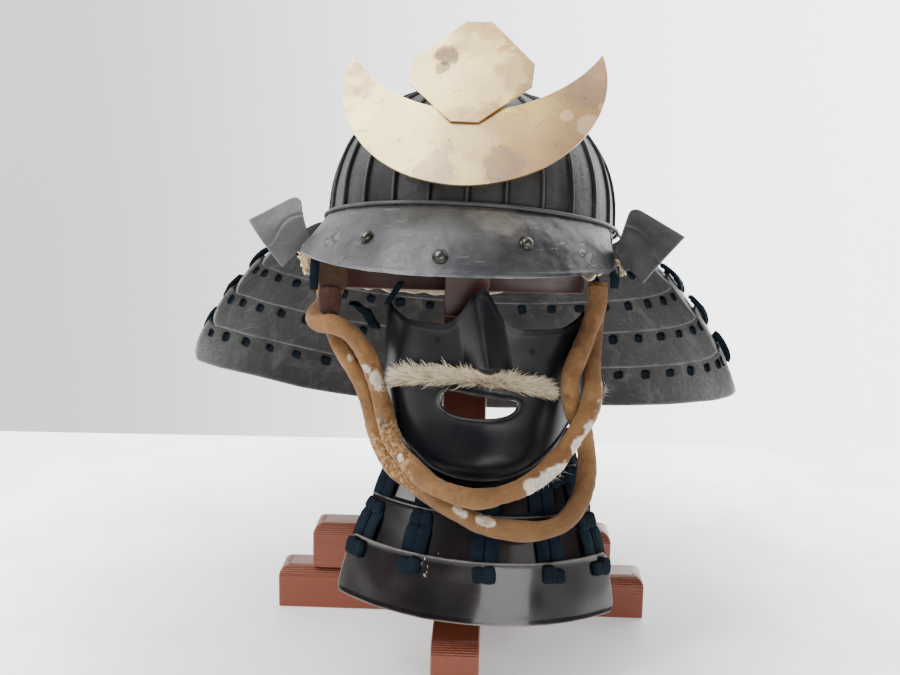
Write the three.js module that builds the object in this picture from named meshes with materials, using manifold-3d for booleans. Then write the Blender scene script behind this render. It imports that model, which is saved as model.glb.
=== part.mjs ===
// A samurai helmet (kabuto) with its face mask and throat guard, tied together on a plain wooden stand.
// Millimetres, +Z up. The origin is on the table, at the centre of the stand's crossing.
// +X is the viewer's right, -Y is the way the helmet faces.
import * as THREE from "three";
import { mergeVertices } from "three/addons/utils/BufferGeometryUtils.js";
import Module from "manifold-3d";

const wasm = await Module();
wasm.setup();

// ---------- driving dimensions ----------
const GAP = 0.3; // between pieces that touch
const DEGREE = Math.PI / 180;

// How the helmet sits on the stand: leaning back, turned a little and low on one side.
const HELMET_CENTRE = [2.5, 0, 294];
const HELMET_TILT_BACK = 12.5;
const HELMET_TURN = -7;
const HELMET_ROLL = 0.2;

// Bowl
const BOWL_HALF_WIDTH = 101;
const BOWL_HALF_LENGTH = 118;
const BOWL_HEIGHT = 94;
const BOWL_ROUNDNESS = 2.3; // exponent of the profile, 2 is an ellipse
const BOWL_WALL = 2.4;
const RIB_COUNT = 26;
const RIB_HEIGHT = 2.2;
const RIB_WIDTH = 3.4;
const RIBS_PER_PLATE = 2;
const BOWL_TOP_RISE = 0.88; // share of the quarter turn from the foot to the crown hole
const CROWN_HOLE_RADIUS = 16;
const BASE_BAND_HEIGHT = 12;

// Brow plate
const BROW_TOP = { halfWidth: 104.4, halfLength: 122, z: -4, end: 72 };
const BROW_EDGE = { halfWidth: 122, halfLength: 154, z: -51, leftRise: 20, rightRise: 15, end: 61 };
const BROW_CORNER_RADIUS = 7;
const BROW_WALL = 2;
const RIVET_RADIUS = 4;

// Crest
const CREST_CENTRE = [2.2, -91, 396];
const CREST_LEAN_BACK = 36;
const CREST_TURN = -7;
const CREST_SHEET = 1.4;
const CRESCENT_OUTER_RADIUS = 84;
const CRESCENT_INNER_RADIUS = 90.5;
const CRESCENT_FLATTEN = 0.9; // height for each millimetre of a true circle
const CRESCENT_SHIFT = 1;
const CRESCENT_DROP = 5.5;
const CRESCENT_ROLL = -0.8;
const CRESCENT_DEPTH = 61; // of brass at the middle
const DIAMOND_HALF = 39.3;
const DIAMOND_CUT_HALF = 7.2;
const DIAMOND_SHIFT = -0.6;
const DIAMOND_RAISE = 4;
const DIAMOND_SIDE_DROP = 3.5; // the side corners lie below the middle
const DIAMOND_ROLL = 1.2;

// Neck guard: an umbrella-shaped surface from the bowl's rim down to the hem, cut into lames
const NECK_TOP = { halfWidth: 107, halfLength: 123, z: -5 };
const NECK_HEM = { halfWidth: 188, halfLength: 198, z: -115, backDrop: 22 };
const NECK_SAG = { depth: 6, angle: 200, reach: 38 }; // the hem hangs lower at the left rear
const NECK_SHIFT = -4; // the guard hangs a little to one side
const NECK_ARC = [27, 65]; // degrees below level of the wall at the rim and at the hem
const NECK_LAMES = 5;
const NECK_OVERLAP = 0.045; // of the whole run
const NECK_STEP = 2.4; // each lame lies this much outside the one above
const NECK_WALL = 1.6;
const NECK_FRONT = { rim: 74, first: 68, hem: 84 }; // degrees from the front where the lames begin

// Wings: the small plates turned back at the front ends of the top lame
const WING_CORNERS = {
  baseInner: [105, -54, -22],
  baseOuter: [124, -54, -42],
  endOuter: [150, -57, -10],
  endInner: [114, -57, 10],
};
const WING_CURL = 5;
const WING_WALL = 1.8;

// Mask, measured from its own centre between the jaw corners
const MASK_CENTRE = [12.5, -55, 190];
const MASK_ROLL = 1.9;
const MASK_HALF_WIDTH = 68;
const MASK_JAW_TAPER = 0.14; // of the width, from the mouth's height down to the chin
const MASK_CHIN = -56;
const MASK_RIM = 48;
const MASK_BRIDGE_RISE = 27;
const MASK_WALL = 2.2;
const NOSE_HEIGHT = 15;
const NOSE_HALF_WIDTH = 15;
const NOSE_FOOT = 24;
const MOUTH = { left: -26, right: 24, top: 9.5, dip: 5.5, bottom: -10.5 };

// Moustache: a low pad of bristle lying on the mask above the mouth, in mask coordinates
const MOUSTACHE_REACH = [-60, 47];
const MOUSTACHE_HALF_HEIGHT = 6.4;
const MOUSTACHE_PROUD = 5;

// Throat guard, each lame from its top rim to its lower rim
const THROAT_CENTRE_X = 14;
const THROAT_ROLL = 2.7;
const THROAT_ROLL_HEIGHT = 100; // the guard is rolled about this height
const THROAT_WALL = 1.8;
const THROAT_LAMES = [
  { top: { z: 143, front: -107, half: 62 }, hem: { z: 113, front: -126, half: 72 } },
  { top: { z: 118, front: -129.5, half: 73 }, hem: { z: 86, front: -144, half: 84 } },
  { top: { z: 93, front: -147, half: 85.5 }, hem: { z: 54, front: -155, half: 93.5 } },
];
const THROAT_SAG = 0.44; // depth of the curve for each millimetre of half width

// Chin cord
const CORD_DIAMETER = 13;
const CORD_SIDES = 10;
const CORD_STEPS = 40;
const INNER_STRAND = [
  [-87, -64, 270], [-89, -63, 256], [-95, -67, 245], [-100, -79, 238], [-96, -91, 235], [-85, -97, 235],
  [-75, -96, 230], [-68, -93, 221], [-62, -90, 209], [-58, -88, 195], [-53, -91, 180], [-48, -99, 165],
  [-41, -111, 155], [-31, -124, 148], [-18, -137, 141], [-4, -146, 138], [11, -147, 135], [27, -144, 137],
  [43, -138, 142], [56, -130, 150], [66, -124, 160], [75, -119, 173], [82, -114, 184], [85, -106, 196],
  [85, -91, 210], [86, -77, 222], [88, -65, 235], [90, -58, 250], [90, -56, 262],
];
const OUTER_STRAND = [
  [-99, -46, 268], [-98, -47, 252], [-95, -52, 238], [-89, -66, 226], [-82, -76, 215], [-74, -80, 202],
  [-67, -78, 189], [-62, -78, 175], [-59, -83, 162], [-52, -93, 150], [-43, -104, 140], [-31, -113, 134],
  [-17, -125, 129], [-3, -136, 124], [12, -142, 118], [33, -146, 115], [52, -143, 114], [67, -135, 117],
  [78, -123, 127], [83, -112, 140], [83, -104, 155], [80, -101, 169], [74, -102, 182], [71, -104, 194],
  [71, -104, 207], [77, -97, 222], [84, -87, 238], [88, -79, 251], [88, -76, 262],
];

// Ties: short flat ribbons that hang the strands from the helmet's rim
const TIE = { width: 7, wall: 2, z: [252, 276] };

// Lining band inside the rim
const LINING = { halfWidth: 98, halfLength: 112, wall: 2, top: -12.6, hem: -36, backDrop: 8 };

// Stand
const BOARD = 32; // thickness of every board
const ARM_HALF = 138.4;
const LOWER_HEIGHT = 32.4;
const BLOCK_HALF = 112.1;
const BLOCK_HEIGHT = 33.7;
const FOOT_HALF = 139.9;
const CROSSBAR_Z = 247;
const BOARD_ROUNDING = 8;
const CROSSBAR_HEIGHT = 32;
const CROSSBAR = { left: -90, right: 84 };
const FRONT_ARM_END = -95;
const BACK_ARM_END = 70;
const HEAD_POST_TOP = 377;

// ---------- finishes ----------
const finish = (color, roughness, metalness) => ({ color, roughness, metalness });
const IRON = finish(0x3c3c3e, 0.55, 0.8);
const BROW_IRON = finish(0x55565a, 0.5, 0.8);
const BRASS = finish(0xd8bc8c, 0.35, 0.9);
const LACQUER = finish(0x241d1d, 0.25, 0.3);
const CLOTH = finish(0xaa7846, 0.95, 0);
const LACING = finish(0x16233a, 0.9, 0);
const HAIR = finish(0xe0cca4, 0.8, 0);
const CLOTH_LINING = finish(0xb9a67c, 0.9, 0);
const WOOD = finish(0x8e4a36, 0.5, 0);

// ---------- helpers ----------
function piece(name, geometry, look) {
  const mesh = new THREE.Mesh(geometry, new THREE.MeshStandardMaterial(look));
  mesh.name = name;
  return mesh;
}

function signedVolume(points, triangles) {
  let sum = 0;
  for (let i = 0; i < triangles.length; i += 3) {
    const [a, b, c] = [points[triangles[i]], points[triangles[i + 1]], points[triangles[i + 2]]];
    sum += a.dot(new THREE.Vector3().crossVectors(b, c));
  }
  return sum / 6;
}

// A closed wall between an outer and an inner surface, both functions of u and v from 0 to 1.
// us and vs are the grid's stations. A ring wall closes on itself along u.
function wall(us, vs, outer, inner, ring = false) {
  const points = [];
  for (const face of [outer, inner]) {
    for (const v of vs) {
      for (const u of us) {
        points.push(face(u, v));
      }
    }
  }
  const columns = us.length;
  const rows = vs.length;
  const half = columns * rows;
  const at = (i, j, side) => side * half + j * columns + (i % columns);
  const triangles = [];
  const quad = (a, b, c, d) => triangles.push(a, b, c, a, c, d);
  const spans = ring ? columns : columns - 1;
  for (let j = 0; j < rows - 1; j++) {
    for (let i = 0; i < spans; i++) {
      quad(at(i, j, 0), at(i + 1, j, 0), at(i + 1, j + 1, 0), at(i, j + 1, 0));
      quad(at(i, j, 1), at(i, j + 1, 1), at(i + 1, j + 1, 1), at(i + 1, j, 1));
    }
  }
  for (let i = 0; i < spans; i++) {
    quad(at(i, 0, 0), at(i, 0, 1), at(i + 1, 0, 1), at(i + 1, 0, 0));
    quad(at(i, rows - 1, 0), at(i + 1, rows - 1, 0), at(i + 1, rows - 1, 1), at(i, rows - 1, 1));
  }
  if (!ring) {
    for (let j = 0; j < rows - 1; j++) {
      quad(at(0, j, 0), at(0, j + 1, 0), at(0, j + 1, 1), at(0, j, 1));
      const last = columns - 1;
      quad(at(last, j, 0), at(last, j, 1), at(last, j + 1, 1), at(last, j + 1, 0));
    }
  }
  if (signedVolume(points, triangles) < 0) {
    triangles.reverse();
  }
  const geometry = new THREE.BufferGeometry();
  geometry.setAttribute("position", new THREE.Float32BufferAttribute(points.flatMap((p) => p.toArray()), 3));
  geometry.setIndex(triangles);
  geometry.computeVertexNormals();
  return geometry;
}

const stations = (count) => Array.from({ length: count + 1 }, (_, i) => i / count);

// The surface moved along its own normal by a distance.
function offset(face, distance) {
  const step = 0.004;
  return (u, v) => {
    const along = face(Math.min(u + step, 1), v).sub(face(Math.max(u - step, 0), v));
    const down = face(u, Math.min(v + step, 1)).sub(face(u, Math.max(v - step, 0)));
    return face(u, v).addScaledVector(along.cross(down).normalize(), distance);
  };
}

// A point on an oval of the given half sizes, at an angle in degrees from the front.
function oval(angle, halfWidth, halfLength, z) {
  const a = angle * DEGREE;
  return new THREE.Vector3(halfWidth * Math.sin(a), -halfLength * Math.cos(a), z);
}

const mix = (a, b, t) => a + (b - a) * t;

function box(x0, x1, y0, y1, z0, z1) {
  const geometry = new THREE.BoxGeometry(x1 - x0, y1 - y0, z1 - z0);
  return geometry.translate((x0 + x1) / 2, (y0 + y1) / 2, (z0 + z1) / 2);
}

// An outline in X and Z, extruded along +Y from y0 to y1.
function slab(outline, y0, y1, curveSegments = 12) {
  const settings = { depth: y1 - y0, bevelEnabled: false, curveSegments };
  const geometry = new THREE.ExtrudeGeometry(outline, settings);
  return geometry.rotateX(Math.PI / 2).translate(0, y1, 0);
}

// The same, with the outline in Y and Z and its thickness along X.
function lengthwise(geometry) {
  return geometry.rotateZ(Math.PI / 2);
}

function toSolid(geometry) {
  const bare = geometry.clone();
  bare.deleteAttribute("normal");
  bare.deleteAttribute("uv");
  const merged = mergeVertices(bare, 1e-4);
  const mesh = new wasm.Mesh({
    numProp: 3,
    vertProperties: new Float32Array(merged.attributes.position.array),
    triVerts: new Uint32Array(merged.index.array),
  });
  return new wasm.Manifold(mesh);
}

function fromSolid(solid) {
  const mesh = solid.getMesh();
  const geometry = new THREE.BufferGeometry();
  geometry.setAttribute("position", new THREE.Float32BufferAttribute(mesh.vertProperties, 3));
  geometry.setIndex(Array.from(mesh.triVerts));
  geometry.computeVertexNormals();
  return geometry;
}

// ---------- bowl ----------
// The dome's radius at a height is the same share of both half sizes.
function domeShare(z, height) {
  const rise = Math.min(z / height, 1);
  return Math.pow(1 - Math.pow(rise, BOWL_ROUNDNESS), 1 / BOWL_ROUNDNESS);
}

function domePoint(angle, rise, proud) {
  const height = BOWL_HEIGHT + proud;
  const z = height * Math.sin(rise * Math.PI / 2);
  const share = domeShare(z, height);
  return oval(angle, (BOWL_HALF_WIDTH + proud) * share, (BOWL_HALF_LENGTH + proud) * share, z);
}

// One gore of the bowl, from its foot to the crown hole, with its standing ribs.
function bowlPlate(index) {
  const pitch = 360 / RIB_COUNT;
  const ribDegrees = RIB_WIDTH / BOWL_HALF_WIDTH / DEGREE;
  const first = index * RIBS_PER_PLATE;
  const across = [{ angle: first * pitch, height: 0, seam: 1 }];
  for (let rib = first; rib < first + RIBS_PER_PLATE; rib++) {
    for (const [side, height] of [[-1, 0], [-0.35, RIB_HEIGHT], [0.35, RIB_HEIGHT], [1, 0]]) {
      across.push({ angle: (rib + 0.5) * pitch + side * ribDegrees / 2, height, seam: 0 });
    }
    const last = rib === first + RIBS_PER_PLATE - 1;
    across.push({ angle: (rib + 1) * pitch, height: 0, seam: last ? -1 : 0 });
  }
  const us = across.map((_, i) => i / (across.length - 1));
  const fade = (v) => (v < 0.85 ? 1 : 0.4);
  const surface = (proud) => (u, v) => {
    const { angle, height, seam } = across[Math.round(u * (across.length - 1))];
    const rise = v * BOWL_TOP_RISE;
    const radius = BOWL_HALF_WIDTH * domeShare(BOWL_HEIGHT * Math.sin(rise * Math.PI / 2), BOWL_HEIGHT);
    const shift = seam * GAP / 2 / radius / DEGREE;
    return domePoint(angle + shift, rise, proud ?? height * fade(v));
  };
  const name = `bowl_plate_${String(index + 1).padStart(2, "0")}`;
  return piece(name, wall(us, stations(7), surface(), surface(-BOWL_WALL)), IRON);
}

function crownRing() {
  const z = domePoint(0, BOWL_TOP_RISE, 0).z;
  const profile = [
    [0, z + 2.2],
    [CROWN_HOLE_RADIUS + 8, z + 3],
    [CROWN_HOLE_RADIUS + 6, z + 4.6],
    [CROWN_HOLE_RADIUS - 6, z + 7.5],
    [6, z + 6.5],
    [0, z + 3.5],
  ].map(([r, height]) => new THREE.Vector2(r, height));
  const geometry = new THREE.LatheGeometry(profile, 24).rotateX(Math.PI / 2);
  return piece("bowl_crown_ring", geometry, IRON);
}

// A closed oval band between two heights, given for each angle.
function ovalBand(halfWidth, halfLength, thickness, top, hemAt) {
  const ring = (inset) => (u, v) => {
    const angle = u * 360;
    return oval(angle, halfWidth - inset, halfLength - inset, mix(top, hemAt(angle), v));
  };
  return wall(stations(60).slice(0, -1), [0, 1], ring(0), ring(thickness), true);
}

function baseBand() {
  const wallBelow = BOWL_WALL + 0.6;
  const hem = () => -BASE_BAND_HEIGHT;
  const geometry = ovalBand(BOWL_HALF_WIDTH + 0.6, BOWL_HALF_LENGTH + 0.6, wallBelow, -GAP, hem);
  return piece("bowl_base_band", geometry, IRON);
}

function liningBand() {
  const hem = (angle) => LINING.hem - LINING.backDrop * (1 - Math.cos(angle * DEGREE)) / 2;
  const geometry = ovalBand(LINING.halfWidth, LINING.halfLength, LINING.wall, LINING.top, hem);
  return piece("lining_band", geometry, CLOTH_LINING);
}

// ---------- brow plate ----------
// v runs from the rim on the bowl to the free edge, whose two corners are rounded.
function browFace(u, v) {
  const side = 2 * u - 1;
  const reach = BROW_EDGE.halfLength - BROW_TOP.halfLength;
  const fromEnd = (1 - Math.abs(side)) * BROW_EDGE.end * DEGREE * BROW_EDGE.halfWidth;
  const short = Math.max(0, BROW_CORNER_RADIUS - fromEnd) / BROW_CORNER_RADIUS;
  const cut = 1 - (BROW_CORNER_RADIUS / (reach * 1.7)) * (1 - Math.sqrt(1 - short * short));
  const t = v * cut;
  const top = oval(side * BROW_TOP.end, BROW_TOP.halfWidth, BROW_TOP.halfLength, BROW_TOP.z);
  const rise = (side < 0 ? BROW_EDGE.leftRise : BROW_EDGE.rightRise) * side * side;
  const edge = oval(side * BROW_EDGE.end, BROW_EDGE.halfWidth, BROW_EDGE.halfLength, BROW_EDGE.z + rise);
  const bow = 3 * Math.sin(Math.PI * t) * (1 - side * side);
  const out = edge.clone().sub(top).setZ(0).normalize();
  return top.lerp(edge, t).addScaledVector(out, bow).add(new THREE.Vector3(0, 0, bow * 0.7));
}

function browPlate() {
  const corner = [0, 0.008, 0.025, 0.055, 0.1];
  const middle = Array.from({ length: 15 }, (_, i) => 0.14 + (0.72 * i) / 14);
  const us = [...corner, ...middle, ...corner.map((u) => 1 - u).reverse()];
  return piece("brow_plate", wall(us, stations(5), browFace, offset(browFace, -BROW_WALL)), BROW_IRON);
}

function browRivet(name, u, v) {
  const base = offset(browFace, GAP)(u, v);
  const away = offset(browFace, 1 + GAP)(u, v).sub(base).normalize();
  const profile = [
    [0, 0],
    [RIVET_RADIUS, 0],
    [RIVET_RADIUS * 0.9, RIVET_RADIUS * 0.45],
    [RIVET_RADIUS * 0.5, RIVET_RADIUS * 0.8],
    [0, RIVET_RADIUS * 0.92],
  ].map(([r, height]) => new THREE.Vector2(r, height));
  const rivet = piece(name, new THREE.LatheGeometry(profile, 12), IRON);
  rivet.quaternion.setFromUnitVectors(new THREE.Vector3(0, 1, 0), away);
  rivet.position.copy(base).addScaledVector(away, GAP);
  return rivet;
}

// ---------- crest ----------
function crescent() {
  const innerCentre = CRESCENT_DEPTH - CRESCENT_OUTER_RADIUS + CRESCENT_INNER_RADIUS;
  const squares = CRESCENT_OUTER_RADIUS ** 2 - CRESCENT_INNER_RADIUS ** 2 + innerCentre ** 2;
  const tipZ = squares / (2 * innerCentre);
  const tipX = Math.sqrt(CRESCENT_OUTER_RADIUS ** 2 - tipZ ** 2);
  const outline = new THREE.Shape();
  const outerTip = Math.atan2(tipZ, tipX);
  const innerTip = Math.atan2(tipZ - innerCentre, tipX);
  outline.absarc(0, 0, CRESCENT_OUTER_RADIUS, Math.PI - outerTip, outerTip, false);
  outline.absarc(0, innerCentre, CRESCENT_INNER_RADIUS, innerTip, Math.PI - innerTip, true);
  const plate = slab(outline, 0, CREST_SHEET, 32).scale(1, 1, CRESCENT_FLATTEN);
  plate.rotateY(CRESCENT_ROLL * DEGREE).translate(CRESCENT_SHIFT, 0, -CRESCENT_DROP);
  return piece("crest_crescent", plate, BRASS);
}

function diamond() {
  const [far, cut, side] = [DIAMOND_HALF, DIAMOND_CUT_HALF, -DIAMOND_SIDE_DROP];
  const right = [[cut, -far], [far, side - cut], [far, side + cut], [cut, far]];
  const left = right.map(([x, z]) => [-x, z]).reverse();
  const outline = new THREE.Shape([...right, ...left].map(([x, z]) => new THREE.Vector2(x, z)));
  const plate = slab(outline, -CREST_SHEET - GAP, -GAP);
  plate.rotateY(DIAMOND_ROLL * DEGREE).translate(DIAMOND_SHIFT, 0, DIAMOND_RAISE);
  return piece("crest_diamond", plate, BRASS);
}

// A flat tongue behind both plates, with a peg from it back to the bowl.
function crestBracket() {
  const front = CREST_SHEET + GAP;
  const back = front + 3;
  const corners = [
    [front, -72],
    [back, -72],
    [back, -62],
    [15.5, -62],
    [15.5, -54],
    [back, -54],
    [back, 30],
    [front, 30],
  ];
  const outline = new THREE.Shape(corners.map(([y, z]) => new THREE.Vector2(y, z)));
  return piece("crest_bracket", lengthwise(slab(outline, -5, 5)), BRASS);
}

// ---------- neck guard ----------
// u runs round the back from one front end to the other, v from the rim to the hem.
function neckFace(u, v, out) {
  const firstHem = 1 / NECK_LAMES;
  const below = mix(NECK_FRONT.first, NECK_FRONT.hem, (v - firstHem) / (1 - firstHem));
  const start = v < firstHem ? mix(NECK_FRONT.rim, NECK_FRONT.first, v / firstHem) : below;
  const angle = mix(start, 360 - start, u);
  const [rimSlope, hemSlope] = NECK_ARC.map((degrees) => degrees * DEGREE);
  const slope = mix(rimSlope, hemSlope, v);
  const spread = (Math.sin(slope) - Math.sin(rimSlope)) / (Math.sin(hemSlope) - Math.sin(rimSlope));
  const fall = (Math.cos(rimSlope) - Math.cos(slope)) / (Math.cos(rimSlope) - Math.cos(hemSlope));
  const towardsBack = Math.max(0, -Math.cos(angle * DEGREE));
  const sag = NECK_SAG.depth * Math.exp(-(((angle - NECK_SAG.angle) / NECK_SAG.reach) ** 4));
  const hemZ = NECK_HEM.z - NECK_HEM.backDrop * towardsBack - sag;
  const proud = out * Math.sin(slope);
  const point = oval(
    angle,
    mix(NECK_TOP.halfWidth, NECK_HEM.halfWidth, spread) + proud,
    mix(NECK_TOP.halfLength, NECK_HEM.halfLength, spread) + proud,
    mix(NECK_TOP.z, hemZ, fall) + out * Math.cos(slope),
  );
  point.x += NECK_SHIFT * spread;
  return point;
}

function neckLame(index) {
  const from = Math.max(0, index / NECK_LAMES - (index ? NECK_OVERLAP : 0));
  const to = (index + 1) / NECK_LAMES;
  const out = index * NECK_STEP;
  const corner = 0.012;
  const face = (lift) => (u, v) => {
    const endCut = v > 0.99 && (u < 1e-6 || u > 1 - 1e-6) ? 0.35 : 0;
    return neckFace(u, mix(from, to, v - endCut), out + lift);
  };
  const us = [0, corner, ...stations(32).slice(1, -1), 1 - corner, 1];
  return piece(`neck_lame_${index + 1}`, wall(us, [0, 0.5, 1], face(0), face(-NECK_WALL)), IRON);
}

// ---------- wings ----------
function wing(name, side) {
  const corner = (at) => new THREE.Vector3(side * at[0], at[1], at[2]);
  const base = [corner(WING_CORNERS.baseInner), corner(WING_CORNERS.baseOuter)];
  const end = [corner(WING_CORNERS.endInner), corner(WING_CORNERS.endOuter)];
  const face = (u, v) => {
    const point = base[0].clone().lerp(base[1], u).lerp(end[0].clone().lerp(end[1], u), v);
    point.y -= WING_CURL * Math.sin(Math.PI * v);
    return point;
  };
  return piece(name, wall(stations(4), stations(5), face, offset(face, WING_WALL)), IRON);
}

// ---------- mask ----------
// How far the face stands forward at a height: the chin juts a little.
function maskDepth(z) {
  return 60 + 6 * Math.exp(-(((z + 42) / 16) ** 2)) + 3 * Math.max(0, z / 70);
}

function noseRidge(x, z) {
  const centre = 3.5 - 0.24 * Math.max(0, z - NOSE_FOOT);
  const across = Math.max(0, 1 - Math.abs(x - centre) / NOSE_HALF_WIDTH);
  const foot = z > NOSE_FOOT ? 1 : Math.max(0, 1 - (NOSE_FOOT - z) / 8);
  const towardsBridge = Math.max(0, (z - NOSE_FOOT) / (MASK_RIM + MASK_BRIDGE_RISE - NOSE_FOOT));
  return NOSE_HEIGHT * across * foot * (1 - 0.55 * towardsBridge);
}

// The front of the mask at a turn of -90 to 90 degrees round the face, and a height.
function maskPoint(turn, z) {
  const taper = 1 - MASK_JAW_TAPER * Math.max(0, Math.min(1, z / MASK_CHIN));
  const x = MASK_HALF_WIDTH * Math.sin(turn) * taper;
  const y = -maskDepth(z) * Math.pow(Math.max(0, Math.cos(turn)), 0.85) - noseRidge(x, z);
  return new THREE.Vector3(x, y, z);
}

function maskFace(u, v) {
  const turn = (2 * u - 1) * Math.PI / 2;
  const across = Math.sin(turn);
  const x = MASK_HALF_WIDTH * across;
  const bottom = MASK_CHIN * Math.pow(1 - Math.pow(Math.abs(across), 2.2), 1 / 2.2);
  const cheek = Math.max(0, Math.abs(across) - 0.78) / 0.22;
  const top = MASK_RIM + MASK_BRIDGE_RISE * Math.exp(-(((x + 3) / 13) ** 2)) + 7 * cheek;
  return maskPoint(turn, mix(bottom, top, v));
}

function mouthOutline() {
  const { left, right, top, dip, bottom } = MOUTH;
  const outline = new THREE.Shape();
  outline.moveTo(left, top);
  outline.quadraticCurveTo(left * 0.4, top, 0, dip);
  outline.quadraticCurveTo(right * 0.8, dip + 1, right, 0);
  outline.quadraticCurveTo(right * 0.5, bottom, 0, bottom);
  outline.quadraticCurveTo(left * 0.7, bottom, left, -1);
  outline.closePath();
  return outline;
}

function mask() {
  const shell = toSolid(wall(stations(30), stations(18), maskFace, offset(maskFace, -MASK_WALL)));
  const opening = toSolid(slab(mouthOutline(), -100, -20, 5));
  return piece("mask_shell", fromSolid(shell.subtract(opening)), LACQUER);
}

function moustache() {
  const [start, end] = MOUSTACHE_REACH;
  const pad = (lift) => (u, v) => {
    const x = mix(start, end, u);
    const turn = Math.asin(Math.max(-1, Math.min(1, x / MASK_HALF_WIDTH)));
    const full = Math.pow(Math.sin(Math.PI * Math.min(1, Math.max(0, u * 0.94 + 0.03))), 0.6);
    const middle = 17 - (x < -10 ? 17 : 12) * Math.pow(Math.abs(x + 10) / 57, 2.2);
    const z = middle + (2 * v - 1) * MOUSTACHE_HALF_HEIGHT * full;
    const bare = maskPoint(turn, z);
    const away = new THREE.Vector3(Math.sin(turn), -Math.cos(turn), 0);
    const crown = 1 - (2 * v - 1) ** 2;
    return bare.addScaledVector(away, lift ? 2.8 + MOUSTACHE_PROUD * (0.2 + 0.8 * crown * full) : 1.9);
  };
  return piece("moustache", wall(stations(22), stations(4), pad(true), pad(false)), HAIR);
}

// ---------- throat guard ----------
function throatLame(index) {
  const { top, hem } = THROAT_LAMES[index];
  const face = (u, v) => {
    const half = mix(top.half, hem.half, v);
    const sag = half * THROAT_SAG;
    const radius = (half * half + sag * sag) / (2 * sag);
    const turn = (2 * u - 1) * Math.asin(half / radius);
    const y = mix(top.front, hem.front, v) + radius * (1 - Math.cos(turn));
    return new THREE.Vector3(radius * Math.sin(turn), y, mix(top.z, hem.z, v) - THROAT_ROLL_HEIGHT);
  };
  const geometry = wall(stations(18), [0, 0.5, 1], face, offset(face, THROAT_WALL));
  return piece(`throat_lame_${index + 1}`, geometry, LACQUER);
}

// ---------- cords and ties ----------
function strand(name, route) {
  const points = route.map((point) => new THREE.Vector3(...point));
  const path = new THREE.CatmullRomCurve3(points, false, "centripetal");
  const section = new THREE.Shape();
  for (let i = 0; i < CORD_SIDES; i++) {
    const turn = (2 * Math.PI * i) / CORD_SIDES;
    const [x, y] = [Math.cos(turn) * CORD_DIAMETER / 2, Math.sin(turn) * CORD_DIAMETER / 2];
    if (i === 0) {
      section.moveTo(x, y);
    } else {
      section.lineTo(x, y);
    }
  }
  const settings = { steps: CORD_STEPS, bevelEnabled: false, extrudePath: path, curveSegments: 1 };
  return piece(name, new THREE.ExtrudeGeometry(section, settings), CLOTH);
}

function tie(name, x, y) {
  const [low, high] = TIE.z;
  return piece(name, box(x - TIE.width / 2, x + TIE.width / 2, y, y + TIE.wall, low, high), LACING);
}

// ---------- stand ----------
// A board's outline along its length, with its upper corners rounded at the ends asked for.
function boardOutline(from, to, low, high, roundFrom, roundTo) {
  const r = BOARD_ROUNDING;
  const outline = new THREE.Shape();
  outline.moveTo(from, low);
  outline.lineTo(to, low);
  if (roundTo) {
    outline.absarc(to - r, high - r, r, 0, Math.PI / 2, false);
  } else {
    outline.lineTo(to, high);
  }
  if (roundFrom) {
    outline.absarc(from + r, high - r, r, Math.PI / 2, Math.PI, false);
  } else {
    outline.lineTo(from, high);
  }
  outline.closePath();
  return outline;
}

function standPieces() {
  const half = BOARD / 2;
  const blockFoot = LOWER_HEIGHT + GAP;
  const blockTop = blockFoot + BLOCK_HEIGHT;
  const armTop = CROSSBAR_Z + CROSSBAR_HEIGHT;
  const lower = boardOutline(-ARM_HALF, ARM_HALF, 0, LOWER_HEIGHT, true, true);
  const block = boardOutline(-BLOCK_HALF, BLOCK_HALF, blockFoot, blockTop, true, true);
  const frontFoot = boardOutline(-FOOT_HALF, -half - GAP, 0, LOWER_HEIGHT, true, false);
  const backFoot = boardOutline(half + GAP, FOOT_HALF, 0, LOWER_HEIGHT, false, true);
  const bar = new THREE.Shape([
    new THREE.Vector2(CROSSBAR.left, CROSSBAR_Z),
    new THREE.Vector2(CROSSBAR.right, CROSSBAR_Z),
    new THREE.Vector2(CROSSBAR.right, CROSSBAR_Z + 9),
    new THREE.Vector2(CROSSBAR.right - 12, CROSSBAR_Z + CROSSBAR_HEIGHT),
    new THREE.Vector2(CROSSBAR.left + 12, CROSSBAR_Z + CROSSBAR_HEIGHT),
    new THREE.Vector2(CROSSBAR.left, CROSSBAR_Z + 9),
  ]);
  const arm = new THREE.Shape([
    new THREE.Vector2(-13, CROSSBAR_Z - 5),
    new THREE.Vector2(7, CROSSBAR_Z - 5),
    new THREE.Vector2(17, CROSSBAR_Z + 16),
    new THREE.Vector2(17, armTop),
    new THREE.Vector2(-13, armTop),
  ]);
  return [
    piece("stand_lower_board", slab(lower, -half, half, 5), WOOD),
    piece("stand_upper_block", slab(block, -half, half, 5), WOOD),
    piece("stand_front_foot", lengthwise(slab(frontFoot, -half, half, 5)), WOOD),
    piece("stand_back_foot", lengthwise(slab(backFoot, -half, half, 5)), WOOD),
    piece("stand_post", box(-half, half, -half, half, blockTop + GAP, CROSSBAR_Z - GAP), WOOD),
    piece("stand_crossbar", slab(bar, -half, half), WOOD),
    piece("stand_front_arm", slab(arm, FRONT_ARM_END, -half - GAP), WOOD),
    piece("stand_back_arm", slab(arm, half + GAP, BACK_ARM_END), WOOD),
    piece("stand_head_post", box(-10, 10, -10, 10, armTop + GAP, HEAD_POST_TOP), WOOD),
  ];
}

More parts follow.
